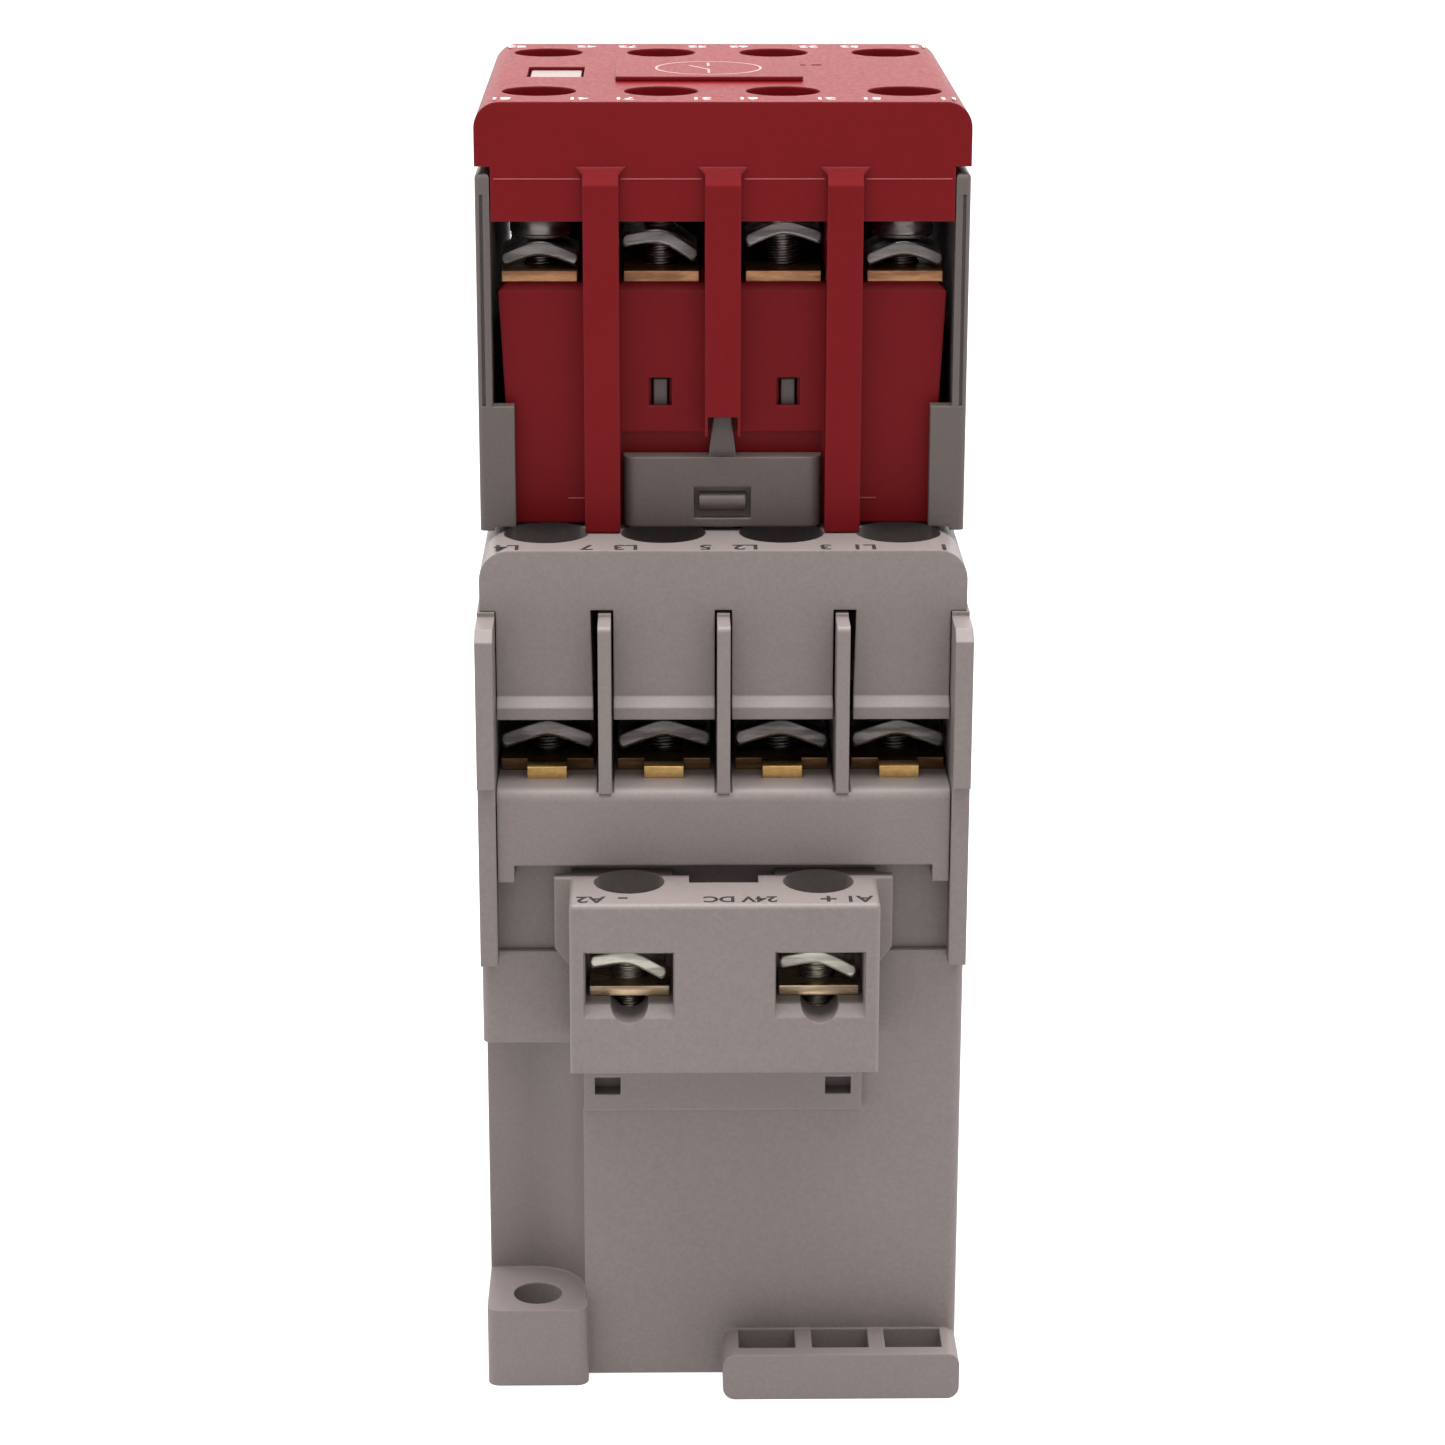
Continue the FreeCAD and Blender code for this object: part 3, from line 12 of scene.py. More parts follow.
import bmesh
import bpy
import numpy as np
from mathutils import Matrix, Vector


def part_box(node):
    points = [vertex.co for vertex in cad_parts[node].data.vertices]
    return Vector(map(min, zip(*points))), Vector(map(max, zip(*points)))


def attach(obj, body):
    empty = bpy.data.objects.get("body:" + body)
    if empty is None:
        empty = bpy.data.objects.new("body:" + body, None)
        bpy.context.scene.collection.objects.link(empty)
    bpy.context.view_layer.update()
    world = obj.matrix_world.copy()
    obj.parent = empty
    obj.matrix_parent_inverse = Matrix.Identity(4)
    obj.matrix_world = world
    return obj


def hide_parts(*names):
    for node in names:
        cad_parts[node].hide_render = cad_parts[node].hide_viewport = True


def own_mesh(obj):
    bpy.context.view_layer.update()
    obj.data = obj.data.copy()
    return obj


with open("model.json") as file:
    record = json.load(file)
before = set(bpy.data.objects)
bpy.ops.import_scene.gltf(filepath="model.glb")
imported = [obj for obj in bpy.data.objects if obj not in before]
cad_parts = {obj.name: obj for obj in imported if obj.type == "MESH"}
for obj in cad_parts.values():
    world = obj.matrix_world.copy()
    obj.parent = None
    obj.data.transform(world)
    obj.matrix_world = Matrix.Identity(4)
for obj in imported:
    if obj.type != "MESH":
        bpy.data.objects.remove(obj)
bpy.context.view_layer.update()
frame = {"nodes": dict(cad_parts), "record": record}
MM = 0.001

# %% [markdown]
# ## The camera
# The object stands on its mounting face and is seen from the line side, from a little above. A short lens
# close by would splay the upright edges; a long lens further off keeps them almost parallel, as they
# should be here. Three angles turn a view that first looks along +Y: down, to the right, and a trace of
# roll.

# %% Camera
PITCH = math.radians(17.18)  # looking down
YAW = math.radians(0.946)  # turned to the right
ROLL = 0.0022
EYE = Vector((-0.00526, -0.34398, 0.16172))
FOCAL_LENGTH = 90.35

forward = Vector((math.sin(YAW) * math.cos(PITCH), math.cos(YAW) * math.cos(PITCH), -math.sin(PITCH)))
level = Vector((math.cos(YAW), -math.sin(YAW), 0.0))
upright = level.cross(forward)
right = level * math.cos(ROLL) + upright * math.sin(ROLL)
up = upright * math.cos(ROLL) - level * math.sin(ROLL)
lens = bpy.data.cameras.new("camera")
lens.lens = FOCAL_LENGTH
lens.sensor_width = 36.0
lens.clip_start = 0.01
camera = bpy.data.objects.new("camera", lens)
camera.matrix_world = Matrix((right, up, -forward)).transposed().to_4x4()
camera.location = EYE
bpy.context.scene.collection.objects.link(camera)
bpy.context.scene.camera = camera
print("camera at", [round(v, 3) for v in EYE], "focal length", FOCAL_LENGTH)

# %% [markdown]
# ## Material helpers
# Every finish below is a small network of nodes on Object coordinates. Those belong to the piece, so a
# pattern stays put from every side and keeps its scale. Image textures would need unwrapping, and would
# smear on the deep ribs and slots of a housing. The first helper adds a node and either links or sets
# each input.

# %% Node helper
def add(tree, kind, inputs=None, **settings):
    """One node: settings are its own fields, inputs are values or other nodes' outputs."""
    made = tree.nodes.new(kind)
    for key, value in settings.items():
        setattr(made, key, value)
    for key, value in (inputs or {}).items():
        if isinstance(value, bpy.types.NodeSocket):
            tree.links.new(value, made.inputs[key])
        else:
            made.inputs[key].default_value = value
    return made


def blank(name):
    """A new material, its tree, its main shader and the piece's own coordinates."""
    made = bpy.data.materials.new(name)
    made.use_nodes = True
    tree = made.node_tree
    return made, tree, tree.nodes["Principled BSDF"], add(tree, "ShaderNodeTexCoord").outputs["Object"]


print("helpers", add.__name__, blank.__name__)

# %% Patterns and sums
def noise(tree, place, scale, detail=3.0):
    """A cloud pattern; scale is in features per metre."""
    return add(tree, "ShaderNodeTexNoise", {"Vector": place, "Scale": scale, "Detail": detail}).outputs["Fac"]


def spread(tree, value, low, high):
    """The middle of a cloud, 0.3 to 0.7, stretched to run from low to high."""
    limits = {"Value": value, "From Min": 0.3, "From Max": 0.7, "To Min": low, "To Max": high}
    return add(tree, "ShaderNodeMapRange", limits).outputs["Result"]


def blend_colour(tree, amount, first, second):
    """A colour between two; amount 0 gives the first."""
    made = add(tree, "ShaderNodeMix", {"Factor": amount}, data_type="RGBA")
    for socket, value in ((made.inputs[6], first), (made.inputs[7], second)):
        if isinstance(value, bpy.types.NodeSocket):
            tree.links.new(value, socket)
        else:
            socket.default_value = (*value, 1.0)
    return made.outputs[2]


def arithmetic(tree, operation, first, second):
    """One sum on two values, kept between 0 and 1."""
    made = add(tree, "ShaderNodeMath", {0: first, 1: second}, operation=operation)
    made.use_clamp = True
    return made.outputs[0]


def scaled(colour, factor):
    """A colour made lighter or darker, and kept below 1."""
    return tuple(min(1.0, factor * part) for part in colour)


print("helpers", noise.__name__, spread.__name__, blend_colour.__name__, arithmetic.__name__, scaled.__name__)

# %% [markdown]
# ## Floor, lamps and room
# The object stands on a white sweep that fills the view, so the floor glows a little by itself and stays
# white far behind. A wide lamp overhead makes the tops nearly twice as bright as the upright faces. A
# low, wide lamp behind gives the long pale sheen that plastic shows when it is seen at a grazing angle. A
# weaker one, high in front, finds the chamfers and the fingers. Weak lamps at the sides keep the flanks
# from going flat, and there are no hard shadows because every lamp is large.

# %% Floor
FLOOR_HALF = 9.0
FLOOR_GLOW = 0.84
FLOOR_DROP = 0.02 * MM  # keeps the sheet clear of the feet
PAPER_WHITE = (0.30, 0.30, 0.30)
PAPER_SHADE = (0.29, 0.29, 0.29)
PAPER_CLOUDS = 6.0  # features per metre


def flat_sheet(name, half, height):
    """A square of one face: corners at plus and minus half, all at one height."""
    mesh = bpy.data.meshes.new(name)
    corners = [(-half, -half, height), (half, -half, height), (half, half, height), (-half, half, height)]
    mesh.from_pydata(corners, [], [(0, 1, 2, 3)])
    made = bpy.data.objects.new(name, mesh)
    bpy.context.scene.collection.objects.link(made)
    return made


def paper(name):
    """White paper: two faint clouds in the colour, and a glow of its own."""
    made, tree, shader, place = blank(name)
    clouds = spread(tree, noise(tree, place, PAPER_CLOUDS), 0.0, 1.0)
    tree.links.new(blend_colour(tree, clouds, PAPER_WHITE, PAPER_SHADE), shader.inputs["Base Color"])
    shader.inputs["Roughness"].default_value = 0.9
    shader.inputs["Specular IOR Level"].default_value = 0.1
    shader.inputs["Emission Color"].default_value = (1.0, 1.0, 1.0, 1.0)
    shader.inputs["Emission Strength"].default_value = FLOOR_GLOW
    return made


floor = flat_sheet("floor", FLOOR_HALF, -FLOOR_DROP)
floor.data.materials.append(paper("white_paper"))
print("floor", 2 * FLOOR_HALF, "m wide")

# %% Lamps
MIDDLE = (0.0, 0.0, 0.06)
LAMPS = {  # place, width, height, watts
    "overhead": ((0.0, -0.04, 0.95), 1.1, 0.6, 25.0),
    "back_sheen": ((0.0, 1.10, 0.34), 1.5, 0.55, 4.0),
    "front_high": ((0.05, -0.75, 0.80), 0.8, 0.5, 1.6),
    "front_fill": ((0.10, -1.0, 0.45), 0.8, 0.6, 0.3),
    "left_fill": ((-0.9, -0.15, 0.35), 0.6, 0.6, 0.9),
    "right_fill": ((0.9, -0.15, 0.35), 0.6, 0.6, 0.9),
}


def softbox(name, place, width, height, watts):
    """An area lamp that faces the middle of the object and isn't seen itself."""
    lamp = bpy.data.lights.new(name, "AREA")
    lamp.shape = "RECTANGLE"
    lamp.size = width
    lamp.size_y = height
    lamp.energy = watts
    made = bpy.data.objects.new(name, lamp)
    made.location = place
    made.rotation_euler = (Vector(MIDDLE) - Vector(place)).to_track_quat("-Z", "Y").to_euler()
    made.visible_camera = False
    bpy.context.scene.collection.objects.link(made)


for name, row in LAMPS.items():
    softbox(name, *row)
ROOM_COLOUR = (1.0, 0.99, 0.98, 1.0)
ROOM_STRENGTH = 0.60
world = bpy.data.worlds.new("studio")
world.use_nodes = True
world.node_tree.nodes["Background"].inputs["Color"].default_value = ROOM_COLOUR
world.node_tree.nodes["Background"].inputs["Strength"].default_value = ROOM_STRENGTH
bpy.context.scene.world = world
bpy.context.scene.view_settings.view_transform = "Standard"
print("lamps", sorted(LAMPS))

# %% [markdown]
# ## Rubbed and lit edges
# Moulded and pressed edges are never knife sharp. The Bevel node gives a softened normal at each edge,
# and how far that normal leans from the true one marks the edge itself. That mask is where plastic is
# painted paler and metal brighter: partly rubbed wear, partly a painted highlight for the light that a
# round edge catches. Real bevels on every edge of a moulding would cost a hundred times the faces and
# look the same at this size.

# %% Edge finder
EDGE_GAIN = 5.0  # how fast the mask fills as the normal leans


def soft_edge(tree, radius):
    """The softened normal, and a mask that is 1 on an edge and 0 on a flat face."""
    bevel = add(tree, "ShaderNodeBevel", {"Radius": radius}, samples=6)
    true = add(tree, "ShaderNodeNewGeometry").outputs["Normal"]
    dot = add(tree, "ShaderNodeVectorMath", {0: bevel.outputs["Normal"], 1: true}, operation="DOT_PRODUCT")
    lean = arithmetic(tree, "SUBTRACT", 1.0, dot.outputs["Value"])
    return bevel.outputs["Normal"], arithmetic(tree, "MULTIPLY", lean, EDGE_GAIN)


print("edge mask gain", EDGE_GAIN)

# %% [markdown]
# ## Moulded plastic
# Thermoplastic housings carry a fine spark-eroded grain, faint flow clouds and a film of workshop dust.
# Grain goes into bump and into a slight salt and pepper of the colour, clouds go into colour and
# roughness. Keeping the clouds weak matters: strong ones look like stains. Edges are painted paler:
# partly rubbed wear, partly a painted highlight for the light that round edges catch.

# %% Plastic
CLOUD_WIDE = 70.0  # features per metre: 14 mm
CLOUD_CLOSE = 900.0
GRAIN = 3000.0
SPECK = 0.24  # how far the grain darkens the colour, and towards what share of it
SPECK_SHADE = 0.5
EDGE_RUB_AND_HIGHLIGHT_GAIN = 1.22  # an edge is painted this much brighter, plus a little white: partly rubbed wear, partly a painted highlight
EDGE_RUB_AND_HIGHLIGHT_LIFT = 0.05
GRAIN_GLOSS = 0.06


def moulded(name, colour, roughness, shade=0.93, grain=10e-6, edge=0.28, rub_and_highlight=0.45, specular=0.30):
    """Plastic: clouds of colour to shade times colour; grain is a height in metres; edges are painted lighter
    by a share, partly rubbed wear and partly a painted highlight.
    """
    made, tree, shader, place = blank(name)
    wide = spread(tree, noise(tree, place, CLOUD_WIDE), 0.0, 0.6)
    close = spread(tree, noise(tree, place, CLOUD_CLOSE), 0.0, 0.4)
    base = blend_colour(tree, arithmetic(tree, "ADD", wide, close), colour, scaled(colour, shade))
    fine = noise(tree, place, GRAIN, 2.0)
    speck = blend_colour(tree, spread(tree, fine, 0.0, SPECK), base, scaled(colour, SPECK_SHADE))
    normal, edges = soft_edge(tree, edge * MM)
    # The edge colour: partly rubbed wear, partly a painted highlight.
    worn = tuple(min(1.0, EDGE_RUB_AND_HIGHLIGHT_GAIN * part + EDGE_RUB_AND_HIGHLIGHT_LIFT) for part in colour)
    edges_rubbed_and_highlit = blend_colour(tree, arithmetic(tree, "MULTIPLY", edges, rub_and_highlight), speck, worn)
    tree.links.new(edges_rubbed_and_highlit, shader.inputs["Base Color"])
    gloss = spread(tree, fine, roughness + GRAIN_GLOSS, roughness - GRAIN_GLOSS)
    tree.links.new(gloss, shader.inputs["Roughness"])
    bump = add(tree, "ShaderNodeBump", {"Height": fine, "Distance": grain, "Strength": 0.6, "Normal": normal})
    tree.links.new(bump.outputs["Normal"], shader.inputs["Normal"])
    shader.inputs["Specular IOR Level"].default_value = specular
    return made


grey = moulded("grey_plastic", (0.187, 0.158, 0.151), 0.46, specular=0.26)
# About half the grey: painted shade for the deck's posts and side plates, which turn from the light.
deck_grey_painted_shade = moulded("deck_grey_painted_shade_plastic", (0.100, 0.081, 0.076), 0.46, specular=0.26)
dark_grey = moulded("dark_grey_plastic", (0.098, 0.076, 0.071), 0.44, specular=0.26)
light_grey = moulded("light_grey_plastic", (0.265, 0.230, 0.220), 0.44, specular=0.26)
red = moulded("red_plastic", (0.146, 0.0034, 0.0058), 0.44, shade=0.88, rub_and_highlight=0.20, specular=0.10)
pink_grey = moulded("pink_grey_plastic", (0.250, 0.190, 0.180), 0.44, specular=0.26)
black = moulded("black_plastic", (0.020, 0.019, 0.019), 0.5)
ivory = moulded("bobbin_plastic", (0.58, 0.53, 0.43), 0.5)
rubber = moulded("black_rubber", (0.018, 0.018, 0.018), 0.8)
board = moulded("board_green", (0.020, 0.110, 0.045), 0.3, grain=4e-6, specular=0.5)
white_ink = moulded("white_ink", (0.70, 0.66, 0.64), 0.6, rub_and_highlight=0.0)
pink_ink = moulded("pink_ink", (0.50, 0.33, 0.32), 0.6, rub_and_highlight=0.0)
dark_ink = moulded("dark_ink", (0.022, 0.020, 0.020), 0.6, rub_and_highlight=0.0)
seam_red = moulded("seam_red", (0.34, 0.045, 0.050), 0.5)
print("plastics", sorted(item.name for item in bpy.data.materials))

# %% [markdown]
# ## Worked metal
# Plated and rolled metal carries fine scratches along one way and dull patches. Stretching the noise
# along one axis turns dots into drawn lines; edges are painted brighter, partly rubbed plating and partly
# a painted highlight. The clamps in the wells get a nearly black colour, painted shade for the dark wells
# that they sit in and mirror, so their painted bright rims are what the eye finds, and a strong contrast
# between face and rim matters more than gloss.

# %% Metal
PATCHES = 700.0  # features per metre
SCRATCHES = 5200.0
SCRATCH_DEEP = 0.03 * MM
STREAK = 0.35  # how far a scratch darkens the colour, and towards what share of it
STREAK_SHADE = 0.45
GLOSSIER = 0.08  # how far a patch goes either way from the given roughness
DULLER = 0.14


def worked(name, colour, roughness, tarnish=0.6, stretch=(0.25, 1.0, 2.0), edge=0.16, rim_rub_and_highlight=0.5, bright=1.5):
    """Metal: patches of colour to tarnish times colour, scratches drawn out along an axis, edges painted
    brighter, partly rubbed plating and partly a painted highlight.
    """
    made, tree, shader, place = blank(name)
    drawn = add(tree, "ShaderNodeMapping", {"Vector": place, "Scale": stretch}).outputs["Vector"]
    patches = spread(tree, noise(tree, drawn, PATCHES), 0.0, 1.0)
    scratches = noise(tree, drawn, SCRATCHES, 4.0)
    base = blend_colour(tree, patches, colour, scaled(colour, tarnish))
    dark = scaled(colour, STREAK_SHADE * tarnish)
    streaked = blend_colour(tree, spread(tree, scratches, 0.0, STREAK), base, dark)
    normal, edges = soft_edge(tree, edge * MM)
    # Rims painted bright: partly rubbed plating, partly a painted highlight.
    rims_rubbed_and_highlit = blend_colour(tree, arithmetic(tree, "MULTIPLY", edges, rim_rub_and_highlight), streaked, scaled(colour, bright))
    tree.links.new(rims_rubbed_and_highlit, shader.inputs["Base Color"])
    gloss = spread(tree, patches, roughness - GLOSSIER, roughness + DULLER)
    tree.links.new(gloss, shader.inputs["Roughness"])
    relief = {"Height": scratches, "Distance": SCRATCH_DEEP, "Strength": 0.6, "Normal": normal}
    bump = add(tree, "ShaderNodeBump", relief)
    tree.links.new(bump.outputs["Normal"], shader.inputs["Normal"])
    shader.inputs["Metallic"].default_value = 1.0
    return made


# Dark colours for the clamps are painted shade: they sit in dark wells and mirror them. The high bright
# factors paint their rims as a highlight.
zinc = worked("zinc_steel", (0.150, 0.136, 0.131), 0.38, tarnish=0.55, rim_rub_and_highlight=0.9, bright=4.6)
zinc_deck = worked("zinc_deck_steel", (0.230, 0.208, 0.200), 0.36, tarnish=0.55, rim_rub_and_highlight=0.9, bright=3.4)
zinc_pale = worked("zinc_pale", (0.50, 0.47, 0.41), 0.42, tarnish=0.62, rim_rub_and_highlight=0.6, bright=1.5)
spring_wire = worked("spring_steel", (0.50, 0.50, 0.52), 0.30)
brass = worked("brass", (0.20, 0.11, 0.055), 0.46, tarnish=0.45, bright=2.0)
# About twice the brass colour: painted light for the deck's plates, which stand in shade.
brass_with_painted_light = worked("brass_with_painted_light", (0.42, 0.21, 0.11), 0.42, tarnish=0.5, bright=1.6)
silver = worked("silver", (0.86, 0.85, 0.82), 0.35)
copper = worked("copper_winding", (0.62, 0.22, 0.08), 0.28, stretch=(1.0, 1.0, 0.2))
metals = (zinc, zinc_deck, zinc_pale, spring_wire, brass, brass_with_painted_light, silver, copper)
print("metals", [item.name for item in metals])

# %% [markdown]
# ## Sheets of the magnet
# A magnet core is a pack of half-millimetre steel sheets riveted together. They show as fine lines across
# X. A wave texture along X darkens one thin line a sheet and dents it, which is enough, as the core is
# mostly inside.

# %% Laminated steel
WAVE_REPEAT = math.pi / 10  # a wave texture of scale 1 repeats every pi / 10 of its input
SHEET = 0.5 * MM
SHEET_GAP = 0.25  # the lowest part of the wave, drawn as the gap between two sheets
SHEET_DENT = 0.05 * MM


def laminated(name, colour, gap, pitch):
    """Worked metal with a line in the gap colour every pitch metres along X."""
    made = worked(name, colour, 0.42)
    tree = made.node_tree
    shader = tree.nodes["Principled BSDF"]
    place = add(tree, "ShaderNodeTexCoord").outputs["Object"]
    wave = add(tree, "ShaderNodeTexWave", {"Vector": place, "Scale": WAVE_REPEAT / pitch},
               bands_direction="X").outputs["Fac"]
    limits = {"Value": wave, "From Min": 0.0, "From Max": SHEET_GAP, "To Min": 1.0, "To Max": 0.0}
    lines = add(tree, "ShaderNodeMapRange", limits).outputs["Result"]
    before = shader.inputs["Base Color"].links[0].from_socket
    tree.links.new(blend_colour(tree, lines, before, gap), shader.inputs["Base Color"])
    relief = {"Height": wave, "Distance": SHEET_DENT, "Strength": 0.8,
              "Normal": shader.inputs["Normal"].links[0].from_socket}
    bump = add(tree, "ShaderNodeBump", relief)
    tree.links.new(bump.outputs["Normal"], shader.inputs["Normal"])
    return made


core_steel = laminated("core_steel", (0.30, 0.30, 0.31), (0.06, 0.055, 0.05), SHEET)
print("core sheets", SHEET / MM, "mm thick")

# %% [markdown]
# ## Two finishes on one part
# A contact bridge is brass with silver tips riveted to one face, and both came in as one solid. A fixed
# contact strip is darker inside its chamber and brighter on the tab that sticks out.
# Splitting the parts would be one way; it is simpler to let the colour change where a coordinate passes a
# limit.

# %% Colour by place
RUB_PATCHES = 1800.0  # features per metre


def changed(name, source, axis, limit, above, colour, mirrored=False):
    """A copy of a metal with another colour where a coordinate, or its size if mirrored, is past a limit."""
    made = source.copy()
    made.name = name
    tree = made.node_tree
    shader = tree.nodes["Principled BSDF"]
    place = add(tree, "ShaderNodeTexCoord").outputs["Object"]
    value = add(tree, "ShaderNodeSeparateXYZ", {"Vector": place}).outputs[axis]
    if mirrored:
        value = add(tree, "ShaderNodeMath", {0: value}, operation="ABSOLUTE").outputs[0]
    order = (value, limit) if above else (limit, value)
    beyond = arithmetic(tree, "GREATER_THAN", *order)
    before = shader.inputs["Base Color"].links[0].from_socket
    worn = arithmetic(tree, "MULTIPLY", beyond, spread(tree, noise(tree, place, RUB_PATCHES), 1.0, 0.75))
    tree.links.new(blend_colour(tree, worn, before, colour), shader.inputs["Base Color"])
    return made


TAB_START = 27.9 * MM  # distance from the middle of the object
MAIN_STRIP = 1.21 * MM  # the strips of the bridges, with the tips below and above them
AUX_STRIP = 0.71 * MM
TIP_SILVER = (0.84, 0.83, 0.80)
main_strip_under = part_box("main_bridge_1")[1].z - MAIN_STRIP
aux_strip_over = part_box("aux_bridge_1")[0].z + AUX_STRIP
main_bridge_metal = changed("main_bridge_metal", brass, "Z", main_strip_under, False, TIP_SILVER)
aux_bridge_metal = changed("aux_bridge_metal", brass, "Z", aux_strip_over, True, TIP_SILVER)
tab_metal = changed("tab_metal", brass, "Y", TAB_START, True, (0.66, 0.42, 0.16), mirrored=True)
coil_plate_metal = worked("coil_plate_metal", (0.62, 0.46, 0.30), 0.35, tarnish=0.5)
print("tips start at z", round(main_strip_under / MM, 2), round(aux_strip_over / MM, 2), "mm")

# %% [markdown]
# ## Finishing the measured parts
# The record says which slot each part belongs to. One table from slot to material dresses them all, and a
# second, short one holds the parts that have a finish of their own.

# %% Dress the frame
BY_SLOT = {
    "grey_plastic": grey, "dark_grey_plastic": dark_grey, "light_grey_plastic": light_grey,
    "red_plastic": red, "black_plastic": black, "bobbin_plastic": ivory, "black_rubber": rubber,
    "board_green": board, "zinc_steel": zinc, "spring_steel": spring_wire, "core_steel": core_steel,
    "brass": brass, "silver": silver, "copper_winding": copper,
}
BY_NAME = {"deck_base": deck_grey_painted_shade, "main_bridge": main_bridge_metal, "aux_bridge": aux_bridge_metal,
           "line_terminal_plates": tab_metal, "load_terminal_plates": tab_metal,
           "aux_line_plates": brass_with_painted_light, "aux_load_plates": brass_with_painted_light,
           "coil_terminal_plates": coil_plate_metal, "indicator_flag": pink_grey}
slot_of = {row["node"]: row["material_slot"] for row in frame["record"]["subparts"]}
for name, item in frame["nodes"].items():
    finish = BY_SLOT[slot_of[name]]
    for start, own in BY_NAME.items():
        if name.startswith(start):
            finish = own
    item.data.materials.clear()
    item.data.materials.append(finish)
print("dressed", len(frame["nodes"]), "nodes in", len(set(slot_of.values())), "slots")

# %% [markdown]
# ## Surfaces from arrays
# Every new piece is one or more grids of points. A grid is computed as a whole array, its four-sided
# faces come from the row and column numbers, and its ends are closed with one flat face each, or joined
# to each other in a ring. Several grids can make one piece, as a thread, a head and a clamp do.

# %% Grid to mesh
def skin(points, ring=False):
    """Corners and faces of a grid whose columns run round: the ends get a face each, or join in a ring."""
    rows, columns = points.shape[:2]
    at = np.arange(rows * columns).reshape(rows, columns)
    if ring:
        at = np.concatenate([at, at[:1]])
    after = np.roll(at, -1, axis=1)
    quads = np.stack([at[:-1], after[:-1], after[1:], at[1:]], axis=-1).reshape(-1, 4).tolist()
    if not ring:
        quads += [at[0, ::-1].tolist(), at[-1].tolist()]
    return points.reshape(-1, 3), quads


def outward(mesh):
    """Turns every face outwards, shell by shell."""
    work = bmesh.new()
    work.from_mesh(mesh)
    bmesh.ops.recalc_face_normals(work, faces=work.faces)
    work.to_mesh(mesh)
    work.free()


def place_piece(name, mesh, material, body, replaces=()):
    """The object for a finished mesh: its finish, the body it rides on and what it stands for."""
    mesh.materials.clear()
    mesh.materials.append(material)
    made = bpy.data.objects.new(name, mesh)
    bpy.context.scene.collection.objects.link(made)
    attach(made, body)
    if replaces:
        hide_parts(*replaces)
    return made


SMOOTH_BELOW = math.radians(38.0)


def piece(name, skins, material, body, replaces=()):
    """One object from several skins, with outward faces, smooth wherever the surface turns gently."""
    starts = np.cumsum([0] + [len(points) for points, quads in skins])
    faces = [[int(start) + corner for corner in quad] for start, (points, quads) in zip(starts, skins)
             for quad in quads]
    mesh = bpy.data.meshes.new(name)
    mesh.from_pydata(np.concatenate([points for points, quads in skins]).tolist(), [], faces)
    outward(mesh)
    mesh.shade_smooth()
    mesh.set_sharp_from_angle(angle=SMOOTH_BELOW)
    return place_piece(name, mesh, material, body, replaces)


# %% [markdown]
# ## Springs
# A coil spring is a wire carried round a helix. Its first and last turns lie closed, wire on wire, so
# that it stands straight, and the turns between are open. In use one end stays and the other follows a
# slide. A cylinder with a striped texture would be cheaper, but light would not pass between its turns.

# %% Helical spring
def helix(length, coil_radius, wire_radius, turns, sides=10, steps=28):
    """Height rises by one wire over the first and last turn, evenly between; angle grows with the turns.

    The wire's round section lies across the path, between the coil's radius and the way square to both."""
    t = np.linspace(0.0, turns, turns * steps + 1)
    wire = 2 * wire_radius
    height = np.interp(t, [0, 1, turns - 1, turns],
                       [wire / 2, 1.5 * wire, length - 1.5 * wire, length - wire / 2])
    angle = 2 * np.pi * t
    out = np.stack([np.cos(angle), np.sin(angle), np.zeros_like(t)], axis=-1)
    path = coil_radius * out + height[:, None] * [0.0, 0.0, 1.0]
    ahead = np.gradient(path, axis=0)
    ahead /= np.linalg.norm(ahead, axis=1, keepdims=True)
    side = np.cross(ahead, out)
    turn = np.linspace(0.0, 2 * np.pi, sides, endpoint=False)[None, :, None]
    return path[:, None] + wire_radius * (np.cos(turn) * out[:, None] + np.sin(turn) * side[:, None])


print("a spring of 6 turns has", helix(10 * MM, 2 * MM, 0.2 * MM, 6).shape[:2], "rings and points to a ring")

# %% Fit a spring between its ends
AXIS_ORDER = {"y": [1, 2, 0], "z": [0, 1, 2]}  # where the helix's own x, y and z end up


def coil_spring(name, node, body, axis, wire, turns, centre, radius, fixed):
    """A spring in a node's room along one axis, round a centre."""
    along = "xyz".index(axis)
    low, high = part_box(node)[0][along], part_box(node)[1][along]
    wound = helix(high - low, radius - wire, wire, turns)[..., AXIS_ORDER[axis]]
    anchor = list(centre)
    anchor[along] = low
    wound = wound + anchor
    made = piece(name, [skin(wound)], spring_wire, body, [node])
    anchor[along] = low if fixed == "low" else high
    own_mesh(made)


def middle(node):
    """The middle of a node's box."""
    low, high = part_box(node)
    return [(a + b) / 2 for a, b in zip(low, high)]


